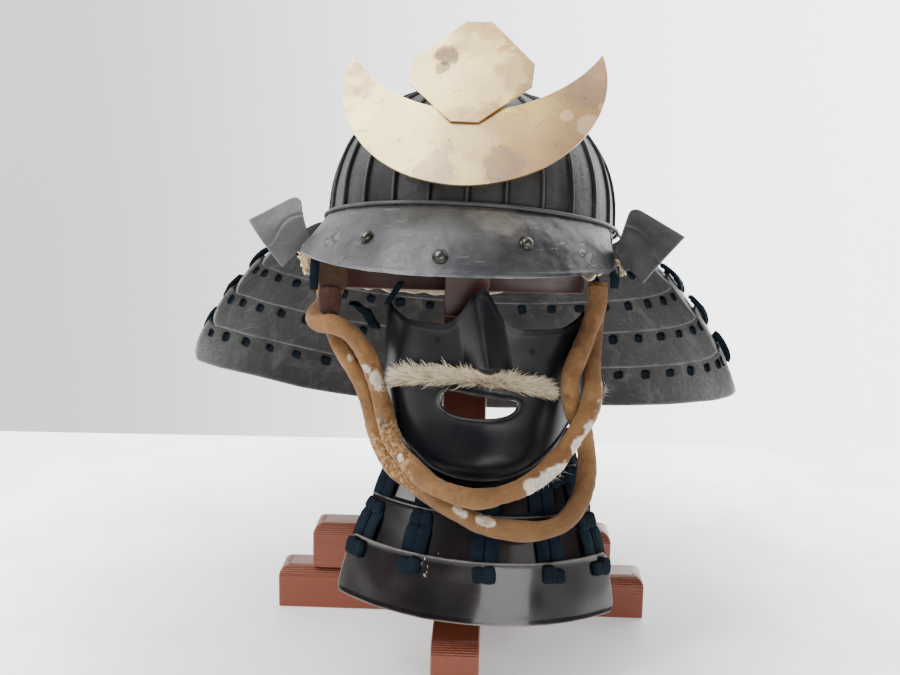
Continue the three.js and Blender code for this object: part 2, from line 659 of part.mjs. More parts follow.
// ---------- assembly ----------
const helmet = new THREE.Group();
helmet.position.set(...HELMET_CENTRE);
helmet.rotation.set(-HELMET_TILT_BACK * DEGREE, HELMET_ROLL * DEGREE, HELMET_TURN * DEGREE, "ZYX");
for (let i = 0; i < RIB_COUNT / RIBS_PER_PLATE; i++) {
  helmet.add(bowlPlate(i));
}
helmet.add(crownRing(), baseBand(), liningBand(), browPlate());
helmet.add(browRivet("brow_rivet_left", 0.312, 0.56));
helmet.add(browRivet("brow_rivet_middle", 0.51, 0.77));
helmet.add(browRivet("brow_rivet_right", 0.7065, 0.54));
for (let i = 0; i < NECK_LAMES; i++) {
  helmet.add(neckLame(i));
}
helmet.add(wing("wing_left", -1), wing("wing_right", 1));

const crest = new THREE.Group();
crest.position.set(...CREST_CENTRE);
crest.rotation.set(-CREST_LEAN_BACK * DEGREE, 0, CREST_TURN * DEGREE, "ZYX");
crest.add(crescent(), diamond(), crestBracket());

const face = new THREE.Group();
face.position.set(...MASK_CENTRE);
face.rotation.set(0, MASK_ROLL * DEGREE, 0);
face.add(mask(), moustache());

const throat = new THREE.Group();
throat.position.set(THROAT_CENTRE_X, 0, THROAT_ROLL_HEIGHT);
throat.rotation.set(0, THROAT_ROLL * DEGREE, 0);
for (let i = 0; i < THROAT_LAMES.length; i++) {
  throat.add(throatLame(i));
}

const cords = new THREE.Group();
cords.add(strand("chin_cord_inner", INNER_STRAND), strand("chin_cord_outer", OUTER_STRAND));
cords.add(tie("tie_left", -101, -84), tie("tie_right", 99, -84));

const stand = new THREE.Group();
stand.add(...standPieces());

const model = new THREE.Group();
model.add(helmet, crest, face, throat, cords, stand);

export default model;
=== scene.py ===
# A samurai helmet with its face mask and throat guard, tied together on a stained wooden stand.
# Metres, +Z up. The origin is on the table under the stand's crossing, and the helmet faces -Y.
import math
import random

import bmesh
import bpy
from mathutils import Euler, Matrix, Vector, noise


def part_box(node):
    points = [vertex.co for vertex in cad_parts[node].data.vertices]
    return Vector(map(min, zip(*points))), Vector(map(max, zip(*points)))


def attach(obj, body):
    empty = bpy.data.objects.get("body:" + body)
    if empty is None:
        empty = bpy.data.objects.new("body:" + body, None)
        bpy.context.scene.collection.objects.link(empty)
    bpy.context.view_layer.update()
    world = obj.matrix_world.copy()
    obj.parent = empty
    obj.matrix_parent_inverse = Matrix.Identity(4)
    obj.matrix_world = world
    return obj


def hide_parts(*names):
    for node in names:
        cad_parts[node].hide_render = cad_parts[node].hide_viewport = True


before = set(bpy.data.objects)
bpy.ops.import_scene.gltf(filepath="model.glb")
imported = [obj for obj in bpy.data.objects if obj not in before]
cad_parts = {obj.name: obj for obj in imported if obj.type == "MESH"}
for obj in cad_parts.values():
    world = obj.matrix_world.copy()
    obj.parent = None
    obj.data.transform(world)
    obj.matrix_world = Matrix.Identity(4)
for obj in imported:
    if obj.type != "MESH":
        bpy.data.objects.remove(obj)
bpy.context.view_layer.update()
scene = bpy.context.scene
DEGREE = math.pi / 180

# ---------- how the groups of pieces sit ----------


def placed(centre, tilt=0, roll=0, turn=0):
    turned = Euler((tilt * DEGREE, roll * DEGREE, turn * DEGREE), "XYZ").to_matrix().to_4x4()
    return Matrix.Translation(centre) @ turned


HELMET = placed((0.0025, 0, 0.294), tilt=-12.5, roll=0.2, turn=-7)
CREST = placed((0.0022, -0.091, 0.396), tilt=-36, turn=-7)
FACE = placed((0.0125, -0.055, 0.190), roll=1.9)
THROAT = placed((0.014, 0, 0.100), roll=2.7)

# ---------- sizes ----------
BOWL_HALF_WIDTH = 0.101
BOWL_HALF_LENGTH = 0.118
BOWL_HEIGHT = 0.094
BOWL_ROUNDNESS = 2.3
BOWL_WALL = 0.0024
BOWL_TOP_RISE = 0.88
RIB_COUNT = 26
RIB_HEIGHT = 0.0021
FOOT_DEPTH = 0.0036
PLATE_NODES = [f"bowl_plate_{number:02d}" for number in range(1, 14)]
CROWN_HOLE_RADIUS = 0.016
BASE_BAND_HEIGHT = 0.012
LINING_WALL = 0.0022

BROW_TOP = {"half_width": 0.1044, "half_length": 0.122, "z": -0.004, "end": 72}
BROW_EDGE = {"half_width": 0.122, "half_length": 0.154, "z": -0.051, "end": 61}
BROW_RISE = {"left": 0.020, "right": 0.015}
BROW_CORNER = 0.007
BROW_WALL = 0.002
RIVET_RADIUS = 0.004
RIVETS = {"left": (0.312, 0.56), "middle": (0.51, 0.77), "right": (0.7065, 0.54)}

CREST_SHEET = 0.0014
CRESCENT_OUTER_RADIUS = 0.084
CRESCENT_INNER_RADIUS = 0.0905
CRESCENT_DEPTH = 0.061
CRESCENT_FLATTEN = 0.9
DIAMOND_HALF = 0.0393
DIAMOND_CUT = 0.0072

NECK_RIM = {"half_width": 0.107, "half_length": 0.123, "z": -0.005}
NECK_HEM = {"half_width": 0.188, "half_length": 0.198, "z": -0.115, "back_drop": 0.022}
NECK_SHIFT = -0.004
NECK_SLOPES = (27 * DEGREE, 65 * DEGREE)
NECK_LAMES = 5
NECK_OVERLAP = 0.045
NECK_STEP = 0.0024
NECK_WALL = 0.0016
NECK_SAG = {"depth": 0.006, "angle": 200, "reach": 38}
NECK_FRONT = {"rim": 74, "first": 68, "hem": 84}
NECK_BRAIDS = 21
# One braid's arch over a lame's rim: how far down the guard, and how far it stands out.
NECK_BRAID_ARCH = [
    (-0.045, 0.0003), (-0.03, 0.0012), (0, 0.0022), (0.03, 0.0028),
    (0.06, 0.0026), (0.085, 0.0018), (0.1, 0.0004),
]

WING_WALL = 0.0018
WING_CURL = 0.005

MASK_HALF_WIDTH = 0.068
MASK_CHIN = -0.056
MASK_RIM = 0.048
MASK_BRIDGE_RISE = 0.027
MASK_WALL = 0.0022
NOSE_FOOT = 0.024
NOSE_HALF_WIDTH = 0.015
NOSE_HEIGHT = 0.015
BRISTLES = 5600
BRISTLE_RADIUS = 0.00026

THROAT_WALL = 0.0018
THROAT_SAG = 0.44
# Each lame's rim and hem, as its height, the place of its front and half its width.
THROAT_LAMES = [
    ((0.143, -0.107, 0.062), (0.113, -0.126, 0.072)),
    ((0.118, -0.1295, 0.073), (0.086, -0.144, 0.084)),
    ((0.093, -0.147, 0.0855), (0.054, -0.155, 0.0935)),
]

# Where braids cross the rim of the topmost lame, and of the others.
THROAT_BRAIDS = [(0.045, 0.16, 0.28, 0.52, 0.76, 0.86, 0.955), (0.045, 0.27, 0.52, 0.76, 0.955)]

CORD_DIAMETER = 0.013
CORD_SIDES = 32
WADDING_FIBRES = 90
FIBRE_RADIUS = 0.00012
MILLIMETRE = 0.001
INNER_STRAND = [
    (-87, -64, 270), (-89, -63, 256), (-95, -67, 245), (-100, -79, 238), (-96, -91, 235), (-85, -97, 235),
    (-75, -96, 230), (-68, -93, 221), (-62, -90, 209), (-58, -88, 195), (-53, -91, 180), (-48, -99, 165),
    (-41, -111, 155), (-31, -124, 148), (-18, -137, 141), (-4, -146, 138), (11, -147, 135), (27, -144, 137),
    (43, -138, 142), (56, -130, 150), (66, -124, 160), (75, -119, 173), (82, -114, 184), (85, -106, 196),
    (85, -91, 210), (86, -77, 222), (88, -65, 235), (90, -58, 250), (90, -56, 262),
]
OUTER_STRAND = [
    (-99, -46, 268), (-98, -47, 252), (-95, -52, 238), (-89, -66, 226), (-82, -76, 215), (-74, -80, 202),
    (-67, -78, 189), (-62, -78, 175), (-59, -83, 162), (-52, -93, 150), (-43, -104, 140), (-31, -113, 134),
    (-17, -125, 129), (-3, -136, 124), (12, -142, 118), (33, -146, 115), (52, -143, 114), (67, -135, 117),
    (78, -123, 127), (83, -112, 140), (83, -104, 155), (80, -101, 169), (74, -102, 182), (71, -104, 194),
    (71, -104, 207), (77, -97, 222), (84, -87, 238), (88, -79, 251), (88, -76, 262),
]

GAP = 0.0003
BOARD_ROUNDING = 0.008
ARRIS = 0.0011
LARGE_FACE = 3e-4


# ---------- material graphs ----------
class Surface:
    """A Principled material whose colour, roughness and bump come from its own nodes."""

    def __init__(self, name, metallic=0.0, specular=0.5):
        self.material = bpy.data.materials.new(name)
        self.material.use_nodes = True
        self.tree = self.material.node_tree
        self.shader = self.tree.nodes["Principled BSDF"]
        self.plain("Metallic", metallic)
        self.plain("Specular IOR Level", specular)

    def node(self, kind, inputs=(), **settings):
        made = self.tree.nodes.new(kind)
        for key, value in settings.items():
            setattr(made, key, value)
        for key, value in dict(inputs).items():
            self.feed(made.inputs[key], value)
        return made

    def feed(self, socket, value):
        if isinstance(value, bpy.types.NodeSocket):
            self.tree.links.new(value, socket)
        elif isinstance(value, tuple) and socket.type == "RGBA":
            socket.default_value = (*value, 1)
        else:
            socket.default_value = value

    def plain(self, name, value):
        """A value that is the same all over, on the shader's own socket."""
        self.shader.inputs[name].default_value = value

    def set(self, name, value):
        self.feed(self.shader.inputs[name], value)

    def place(self):
        return self.node("ShaderNodeTexCoord").outputs["Object"]

    def uv(self):
        return self.node("ShaderNodeTexCoord").outputs["UV"]

    def attribute(self, name):
        return self.node("ShaderNodeAttribute", attribute_name=name).outputs["Fac"]

    def moved(self, vector, scale=(1, 1, 1), turn=(0, 0, 0), shift=(0, 0, 0)):
        inputs = {"Vector": vector, "Scale": scale, "Rotation": turn, "Location": shift}
        return self.node("ShaderNodeMapping", inputs).outputs["Vector"]

    def noise(self, vector, scale, detail=4, rough=0.55, distortion=0.0):
        inputs = {"Vector": vector, "Scale": scale, "Detail": detail, "Roughness": rough}
        return self.node("ShaderNodeTexNoise", inputs | {"Distortion": distortion}).outputs["Fac"]

    def waves(self, vector, scale, distortion=0.0, detail=2, direction="X"):
        inputs = {"Vector": vector, "Scale": scale, "Distortion": distortion, "Detail": detail}
        return self.node("ShaderNodeTexWave", inputs, bands_direction=direction).outputs["Fac"]

    def axis(self, vector, name):
        return self.node("ShaderNodeSeparateXYZ", {0: vector}).outputs[name]

    def length(self, vectors, operation):
        return self.node("ShaderNodeVectorMath", vectors, operation=operation).outputs["Value"]

    def sums(self, operation, a, b=0.0):
        return self.node("ShaderNodeMath", {0: a, 1: b}, operation=operation).outputs[0]

    def times(self, a, b):
        return self.sums("MULTIPLY", a, b)

    def plus(self, a, b):
        return self.sums("ADD", a, b)

    def between(self, value, low, high, to_low=0.0, to_high=1.0):
        inputs = {"Value": value, "From Min": low, "From Max": high, "To Min": to_low, "To Max": to_high}
        return self.node("ShaderNodeMapRange", inputs, interpolation_type="SMOOTHSTEP").outputs["Result"]

    def mix(self, share, a, b):
        made = self.node("ShaderNodeMix", data_type="RGBA")
        for name, value in (("Factor", share), ("A", a), ("B", b)):
            self.feed(made.inputs[name], value)
        return made.outputs["Result"]

    def over(self, base, tone, value, low, high, share=1.0):
        """Lays a tone over a base colour as a value passes from low to high, up to a share of it."""
        return self.mix(self.between(value, low, high, 0, share), base, tone)

    def near(self, centre, reach, ragged=0.35, scale=120):
        """1 inside a patch round a point on the object, fading to 0 past its ragged edge."""
        place = self.place()
        away = self.length({0: place, 1: centre}, "DISTANCE")
        rough = self.times(self.sums("SUBTRACT", self.noise(place, scale, 3), 0.5), ragged * 2 * reach)
        return self.between(self.plus(away, rough), reach, reach * 0.75)

    def bump(self, height, strength, depth, below=None):
        inputs = {"Height": height, "Strength": strength, "Distance": depth}
        if below is not None:
            inputs["Normal"] = below
        return self.node("ShaderNodeBump", inputs).outputs["Normal"]


def aged_iron(name, dark, light, rust, metallic=0.4, gloss=(0.4, 0.62), worn=(0.2, 0.2, 0.205), dust=0.0):
    """Blackened iron: cloudy grey, brown specks, hammer waves, painted shade in the grooves and pale rubbed
    edges.
    """
    iron = Surface(name, metallic=metallic, specular=0.35)
    place = iron.place()
    clouds = iron.noise(place, 14, 6, 0.6)
    patches = iron.noise(place, 45, 5, 0.65, 0.6)
    grain = iron.noise(place, 420, 3)
    colour = iron.over(dark, light, clouds, 0.36, 0.66)
    colour = iron.over(colour, rust, patches, 0.58, 0.74, 0.5)
    film = iron.between(iron.noise(place, 34, 7, 0.75, 0.3), 0.48, 0.7, 0, dust)
    colour = iron.mix(film, colour, (0.17, 0.168, 0.165))
    scuffs = iron.noise(iron.moved(place, (30, 30, 240), (0.3, 0.2, 0)), 1, 5, 0.7)
    colour = iron.over(colour, worn, scuffs, 0.6, 0.72, 0.3)
    rubbed = iron.times(iron.attribute("rim"), iron.between(patches, 0.3, 0.55, 0.25, 1))
    colour = iron.mix(rubbed, colour, worn)
    # Painted shade: near-black in the ribs' grooves and on their rising flanks, where the bowl marks them.
    colour = iron.mix(iron.times(iron.attribute("groove_shade"), 0.85), colour, (0.004, 0.004, 0.0045))
    iron.set("Base Color", colour)
    iron.set("Roughness", iron.between(iron.plus(clouds, grain), 0.75, 1.3, *gloss))
    waves = iron.bump(iron.noise(place, 60, 2), 0.35, 0.0012)
    pits = iron.bump(iron.between(patches, 0.5, 0.75), 0.3, 0.0004, waves)
    iron.set("Normal", iron.bump(grain, 0.25, 0.0002, pits))
    return iron


def brow_iron():
    """Greyer iron with hammer marks, short scratches and flaking cracks near its free edge, and painted
    shade towards its right end.
    """
    tones = (0.045, 0.046, 0.05), (0.105, 0.108, 0.113), (0.04, 0.036, 0.034)
    iron = aged_iron("brow_iron", *tones, gloss=(0.33, 0.5))
    place = iron.place()
    colour = iron.shader.inputs["Base Color"].links[0].from_socket
    torn = iron.noise(iron.moved(place, (1, 1, 1.7)), 60, 5, 0.6, 0.25)
    line = iron.between(iron.sums("ABSOLUTE", iron.sums("SUBTRACT", torn, 0.5)), 0.014, 0.004)
    flake = iron.near((-0.063, -0.118, 0.276), 0.018)
    for centre in ((-0.083, -0.099, 0.291), (0.079, -0.112, 0.282)):
        flake = iron.sums("MAXIMUM", flake, iron.near(centre, 0.010))
    cracks = iron.times(line, flake)
    colour = iron.mix(cracks, colour, (0.006, 0.006, 0.007))
    # Painted shade: the plate darkens towards its right end.
    right = iron.between(iron.axis(place, "X"), 0.0, 0.1, 0, 0.8)
    colour = iron.mix(right, colour, (0.02, 0.0205, 0.022))
    lifted = iron.times(iron.between(torn, 0.5, 0.56), flake)
    colour = iron.mix(iron.times(lifted, 0.18), colour, (0.3, 0.3, 0.31))
    dusty = iron.near((0.02, -0.118, 0.305), 0.022, 0.8, 70)
    dusty = iron.times(dusty, iron.between(torn, 0.4, 0.6, 0.1, 0.5))
    colour = iron.mix(dusty, colour, (0.21, 0.205, 0.19))
    strokes = iron.noise(iron.moved(place, (26, 60, 420), (0, 0.18, 0)), 1, 4, 0.7)
    colour = iron.over(colour, (0.34, 0.345, 0.35), strokes, 0.63, 0.7, 0.5)
    iron.set("Base Color", colour)
    below = iron.shader.inputs["Normal"].links[0].from_socket
    iron.set("Normal", iron.bump(iron.sums("SUBTRACT", lifted, cracks), 0.7, 0.0006, below))
    return iron.material


def lacquered_iron(name, dark, brown, gloss, dents, polish=0.0, chipped=None):
    """Old black lacquer over iron, with dents, a brown cast, worn rims and pale flakes."""
    coat = Surface(name, specular=0.22)
    place = coat.place()
    clouds = coat.noise(place, 18, 5, 0.6)
    specks = coat.noise(place, 230, 3, 0.6)
    colour = coat.over(dark, brown, clouds, 0.35, 0.7)
    flaking = coat.noise(coat.moved(place, (1, 1, 0.5)), 150, 5, 0.75)
    if chipped is not None:
        flaking = coat.plus(flaking, coat.times(coat.near(chipped, 0.026), 0.07))
    chips = coat.between(flaking, 0.72, 0.735)
    colour = coat.mix(coat.times(chips, 0.8), colour, (0.5, 0.48, 0.45))
    patchy = coat.between(coat.noise(place, 60, 4), 0.3, 0.6, 0.15, 0.9)
    rubbed = coat.times(coat.attribute("rim"), patchy)
    colour = coat.mix(rubbed, colour, (0.19, 0.175, 0.16))
    coat.set("Base Color", colour)
    coat.set("Roughness", coat.between(coat.plus(clouds, rubbed), 0.3, 1.1, *gloss))
    hollows = coat.bump(coat.noise(place, 38, 2), dents, 0.0016)
    ripples = coat.bump(specks, 0.12, 0.0002, hollows)
    coat.set("Normal", coat.bump(chips, 0.5, 0.0004, ripples))
    coat.plain("Coat Weight", polish)
    coat.plain("Coat Roughness", 0.12)
    return coat.material


# Patches on the crest: centre, reach, how strong, and their colour.
TARNISH = [
    ((0.039, -0.118, 0.365), 0.020, 0.60, (0.5, 0.37, 0.13)),
    ((0.007, -0.090, 0.395), 0.026, 0.60, (0.95, 0.75, 0.36)),
    ((-0.015, -0.082, 0.411), 0.007, 0.85, (0.15, 0.1, 0.085)),
    ((-0.018, -0.088, 0.402), 0.0045, 0.80, (0.14, 0.095, 0.08)),
    ((0.004, -0.076, 0.421), 0.014, 0.50, (0.42, 0.25, 0.14)),
    ((0.033, -0.094, 0.398), 0.014, 0.60, (0.27, 0.19, 0.12)),
    ((-0.074, -0.085, 0.393), 0.013, 0.65, (0.38, 0.25, 0.17)),
    ((0.079, -0.104, 0.389), 0.017, 0.60, (0.25, 0.17, 0.14)),
    ((0.000, -0.117, 0.360), 0.016, 0.45, (0.5, 0.32, 0.23)),
    ((-0.018, -0.131, 0.339), 0.012, 0.55, (0.34, 0.24, 0.24)),
    ((0.023, -0.133, 0.341), 0.012, 0.60, (0.25, 0.17, 0.16)),
    ((0.050, -0.125, 0.352), 0.020, 0.40, (0.38, 0.24, 0.16)),
]
WIPED_SPOTS = [
    ((0.061, -0.115, 0.373), 0.005), ((0.075, -0.121, 0.367), 0.009), ((0.084, -0.113, 0.378), 0.004),
]


def brass():
    """Golden brass sheet with a painted highlight, brightest at the left horn and fading to the right, with
    soft tarnish, freckles and wiped spots.
    """
    sheet = Surface("crest_brass", metallic=1.0)
    place = sheet.place()
    clouds = sheet.noise(place, 18, 4, 0.5, 0.3)
    blots = sheet.noise(place, 70, 6, 0.65, 0.3)
    freckles = sheet.noise(place, 420, 3, 0.6)
    # Painted highlight: bright gold at the left, fading to darker brass at the right.
    across = sheet.axis(place, "X")
    drift = sheet.plus(across, sheet.between(clouds, 0.3, 0.7, -0.02, 0.02))
    painted_highlight_falloff = sheet.between(drift, -0.05, 0.05)
    colour = sheet.mix(painted_highlight_falloff, (0.95, 0.76, 0.36), (0.42, 0.27, 0.125))
    for centre, reach, share, tone in TARNISH:
        patchy = sheet.between(blots, 0.3, 0.6, 0.45, 1)
        patch = sheet.times(sheet.near(centre, reach * 1.25, 0.7, 90), patchy)
        colour = sheet.mix(sheet.times(patch, share), colour, tone)
    colour = sheet.over(colour, (0.3, 0.2, 0.13), blots, 0.56, 0.75, 0.4)
    for centre, reach in WIPED_SPOTS:
        wiped = sheet.times(sheet.near(centre, reach, 0.3), 0.45)
        colour = sheet.mix(wiped, colour, (0.75, 0.58, 0.38))
    freckled = sheet.times(sheet.between(freckles, 0.6, 0.7), sheet.between(blots, 0.45, 0.6, 0, 0.7))
    colour = sheet.mix(freckled, colour, (0.15, 0.095, 0.07))
    sheet.set("Base Color", colour)
    brushed = sheet.noise(sheet.moved(place, (900, 60, 60), (0, 0.5, 0)), 1, 3)
    rough = sheet.plus(sheet.times(blots, 0.6), sheet.times(brushed, 0.3))
    sheet.set("Roughness", sheet.between(rough, 0.2, 0.7, 0.24, 0.46))
    waves = sheet.bump(sheet.noise(place, 16, 1), 0.25, 0.002)
    sheet.set("Normal", sheet.bump(brushed, 0.08, 0.0001, waves))
    return sheet.material


def padded_cloth(name, dark, light):
    """Faded cord cloth, creased and stained, worn through to white wadding."""
    cloth = Surface(name, specular=0.2)
    place = cloth.place()
    along = cloth.uv()
    clouds = cloth.noise(place, 26, 5, 0.6)
    blots = cloth.noise(place, 75, 5, 0.65)
    colour = cloth.over(dark, light, clouds, 0.34, 0.66)
    colour = cloth.over(colour, (0.11, 0.055, 0.026), blots, 0.54, 0.7, 0.8)
    colour = cloth.over(colour, (0.42, 0.25, 0.12), blots, 0.43, 0.3, 0.25)
    high = cloth.axis(place, "Z")
    # Painted shade under the brow plate: darker near the top.
    colour = cloth.over(colour, (0.07, 0.034, 0.02), high, 0.242, 0.262, 0.3)
    # Darker towards the bottom.
    colour = cloth.over(colour, (0.12, 0.062, 0.026), high, 0.17, 0.125, 0.45)
    stain = cloth.near((-0.056, -0.101, 0.170), 0.007)
    colour = cloth.mix(cloth.times(stain, 0.7), colour, (0.12, 0.1, 0.075))
    scaly = cloth.noise(place, 260, 5, 0.75, 0.8)
    peeling = cloth.near((-0.043, -0.107, 0.146), 0.032)
    lifted = cloth.times(peeling, cloth.between(scaly, 0.5, 0.56, 0, 0.75))
    colour = cloth.mix(lifted, colour, (0.52, 0.31, 0.14))
    cracked = cloth.times(peeling, cloth.between(scaly, 0.44, 0.38, 0, 0.8))
    colour = cloth.mix(cracked, colour, (0.09, 0.042, 0.02))
    bare = cloth.attribute("bare")
    fluff = cloth.noise(place, 500, 4, 0.7)
    wadding = cloth.over((0.5, 0.42, 0.33), (0.78, 0.72, 0.62), fluff, 0.3, 0.7)
    opened = cloth.plus(bare, cloth.times(fluff, 0.5))
    colour = cloth.over(colour, wadding, opened, 0.45, 0.95)
    cloth.set("Base Color", colour)
    cloth.set("Roughness", cloth.between(fluff, 0, 1, 0.85, 1))
    warp, weft = [cloth.waves(along, 620, 0.6, 1, direction) for direction in "XY"]
    weave = cloth.bump(cloth.plus(warp, weft), 0.25, 0.0003)
    folded = cloth.noise(cloth.moved(along, (60, 260, 1)), 1, 4, 0.6, 0.8)
    creases = cloth.bump(folded, 0.7, 0.0018, weave)
    cloth.set("Normal", cloth.bump(fluff, 0.5, 0.0007, creases))
    cloth.plain("Sheen Weight", 0.1)
    return cloth.material


def silk_braid():
    """Dark blue-green flat braid with a herringbone relief."""
    silk = Surface("silk_braid", specular=0.12)
    place = silk.place()
    across = silk.waves(silk.moved(place, (1, 1, 1), (0.4, 0.3, 0.78)), 520, 2.0, 2)
    fade = silk.noise(place, 60, 4)
    colour = silk.over((0.002, 0.0045, 0.011), (0.006, 0.013, 0.023), fade, 0.35, 0.65)
    colour = silk.over(colour, (0.004, 0.019, 0.02), silk.noise(place, 25, 3), 0.55, 0.7, 0.6)
    silk.set("Base Color", silk.over(colour, (0.014, 0.026, 0.038), across, 0.5, 1, 0.3))
    silk.set("Roughness", silk.between(fade, 0.2, 0.8, 0.75, 0.95))
    silk.set("Normal", silk.bump(across, 0.6, 0.0005))
    return silk.material


def bristle():
    """Cream bristle, brown at the root, with painted shade on the lower hairs and each hair a little
    lighter or darker than the next.
    """
    hair = Surface("bristle", specular=0.35)
    tone = hair.attribute("tone")
    pale = hair.plus(hair.attribute("tip"), hair.times(tone, 0.9))
    colour = hair.over((0.17, 0.095, 0.04), (0.88, 0.78, 0.58), pale, 0.15, 1.3)
    browned = hair.noise(hair.place(), 150, 3)
    hair.set("Base Color", hair.over(colour, (0.36, 0.23, 0.11), browned, 0.52, 0.68, 0.45))
    hair.set("Roughness", hair.between(tone, 0, 1, 0.45, 0.65))
    return hair.material


def lining_cloth():
    """Stained cream cloth, paler along its frayed hem."""
    cloth = Surface("lining_cloth", specular=0.15)
    place = cloth.place()
    stain = cloth.noise(place, 40, 5, 0.65)
    colour = cloth.over((0.52, 0.41, 0.25), (0.3, 0.2, 0.11), stain, 0.35, 0.6)
    colour = cloth.over(colour, (0.76, 0.68, 0.5), cloth.attribute("rim"), 0.3, 0.9, 0.8)
    cloth.set("Base Color", colour)
    threads = cloth.noise(cloth.moved(place, (900, 900, 200)), 1, 2)
    cloth.set("Roughness", cloth.between(threads, 0, 1, 0.85, 1))
    folds = cloth.bump(cloth.noise(place, 70, 4), 0.6, 0.0025)
    cloth.set("Normal", cloth.bump(threads, 0.5, 0.0005, folds))
    return cloth.material


def stained_wood():
    """Orange-brown varnished wood with faint fine grain, painted darker higher up as shade inside the
    helmet.
    """
    wood = Surface("stained_wood", specular=0.35)
    grained = wood.uv()
    place = wood.place()
    grain = wood.noise(wood.moved(grained, (6, 300, 300)), 1, 5, 0.6, 0.3)
    bands = wood.noise(wood.moved(grained, (1.5, 45, 45)), 1, 3, 0.5, 0.6)
    pores = wood.noise(wood.moved(grained, (60, 2000, 2000)), 1, 3)
    colour = wood.over((0.178, 0.04, 0.0175), (0.2, 0.047, 0.021), grain, 0.3, 0.7)
    colour = wood.over(colour, (0.24, 0.06, 0.027), bands, 0.35, 0.7, 0.35)
    colour = wood.over(colour, (0.08, 0.019, 0.01), pores, 0.62, 0.74, 0.08)
    colour = wood.mix(wood.times(wood.attribute("rim"), 0.3), colour, (0.48, 0.2, 0.12))
    # Painted shade: the wood goes near-black as it rises up into the helmet.
    high = wood.between(wood.axis(place, "Z"), 0.07, 0.2, 0, 0.85)
    colour = wood.mix(high, colour, (0.022, 0.006, 0.0045))
    wood.set("Base Color", colour)
    sheen = wood.plus(grain, wood.noise(place, 30, 4))
    wood.set("Roughness", wood.between(sheen, 0.6, 1.4, 0.24, 0.42))
    ripples = wood.bump(wood.noise(place, 55, 3), 0.2, 0.0008)
    wood.set("Normal", wood.bump(grain, 0.05, 0.0002, ripples))
    wood.plain("Coat Weight", 0.15)
    wood.plain("Coat Roughness", 0.15)
    return wood.material


BOWL_IRON = aged_iron(
    "bowl_iron", (0.02, 0.0205, 0.022), (0.058, 0.058, 0.06), (0.045, 0.036, 0.03)
).material
NECK_IRON = aged_iron(
    "neck_iron", (0.021, 0.0205, 0.02), (0.048, 0.0465, 0.0455), (0.028, 0.021, 0.018), dust=0.35
).material
BROW_IRON = brow_iron()
RIVET_IRON = aged_iron(
    "rivet_iron", (0.035, 0.033, 0.027), (0.075, 0.07, 0.056), (0.03, 0.025, 0.02), 0.8, (0.2, 0.32)
).material
WING_IRON = aged_iron(
    "wing_iron", (0.05, 0.05, 0.053), (0.115, 0.116, 0.12), (0.05, 0.043, 0.042), dust=0.4
).material
BRASS = brass()
MASK_LACQUER = lacquered_iron(
    "mask_lacquer", (0.004, 0.004, 0.0065), (0.012, 0.0115, 0.0135), (0.3, 0.42), 0.2
)
THROAT_LACQUER = lacquered_iron(
    "throat_lacquer", (0.003, 0.0022, 0.003), (0.011, 0.005, 0.0055), (0.24, 0.4), 0.3,
    polish=0.6, chipped=(-0.03, -0.148, 0.082),
)
CLOTH = padded_cloth("ochre_cord", (0.165, 0.078, 0.031), (0.3, 0.155, 0.062))
WRAP_CLOTH = padded_cloth("brown_wrap", (0.045, 0.028, 0.016), (0.085, 0.05, 0.026))
RED_CLOTH = padded_cloth("red_wrap", (0.04, 0.016, 0.011), (0.075, 0.03, 0.02))
BRAID = silk_braid()
BRISTLE = bristle()
# Near-black lacquer used as painted shade for the mask's holes.
HOLE_SHADE = lacquered_iron("mask_hole_shade", (0.002, 0.002, 0.002), (0.004, 0.004, 0.004), (0.6, 0.8), 0.1)
LINING = lining_cloth()
WOOD = stained_wood()


# ---------- mesh helpers ----------
def linked(name, bm, material):
    """Puts a bmesh into the scene as an object at the origin."""
    mesh = bpy.data.meshes.new(name)
    bm.to_mesh(mesh)
    bm.free()
    mesh.materials.append(material)
    made = bpy.data.objects.new(name, mesh)
    scene.collection.objects.link(made)
    return made


def finished(name, bm, material, slot, nodes=()):
    """Turns a bmesh into a smooth-shaded piece on the one body."""
    for face in bm.faces:
        face.smooth = True
    piece = linked(name, bm, material)
    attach(piece, "root")
    if nodes:
        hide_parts(*nodes)
    return piece


def thicken(piece, wall, edge, offset):
    """Gives a sheet its wall and softens the wall's arrises."""
    solid = piece.modifiers.new("wall", "SOLIDIFY")
    solid.thickness = wall
    solid.offset = offset
    solid.use_even_offset = True
    soften(piece, edge, 60)
    return piece


def soften(piece, width, above=40, segments=2):
    bevel = piece.modifiers.new("soft_edges", "BEVEL")
    bevel.width = width
    bevel.segments = segments
    bevel.limit_method = "ANGLE"
    bevel.angle_limit = above * DEGREE
    bevel.harden_normals = True
    return piece


def sheet(columns, rows, place, size=(1, 1), rim=None, closed=False):
    """A grid laid on place(u, v), u and v from 0 to 1.

    Its UVs give its real size, and its "rim" attribute how worn it is.
    """
    bm = bmesh.new()
    bmesh.ops.create_grid(bm, x_segments=columns, y_segments=rows, size=1)
    worn = bm.verts.layers.float.new("rim")
    uv = bm.loops.layers.uv.new("UVMap")
    shares = {vert: ((vert.co.x + 1) / 2, (vert.co.y + 1) / 2) for vert in bm.verts}
    for face in bm.faces:
        for loop in face.loops:
            u, v = shares[loop.vert]
            loop[uv].uv = (u * size[0], v * size[1])
    for vert, (u, v) in shares.items():
        vert[worn] = rim(u, v) if rim else 0
        vert.co = place(u, v)
    if closed:
        bmesh.ops.remove_doubles(bm, verts=bm.verts, dist=1e-6)
    return bm


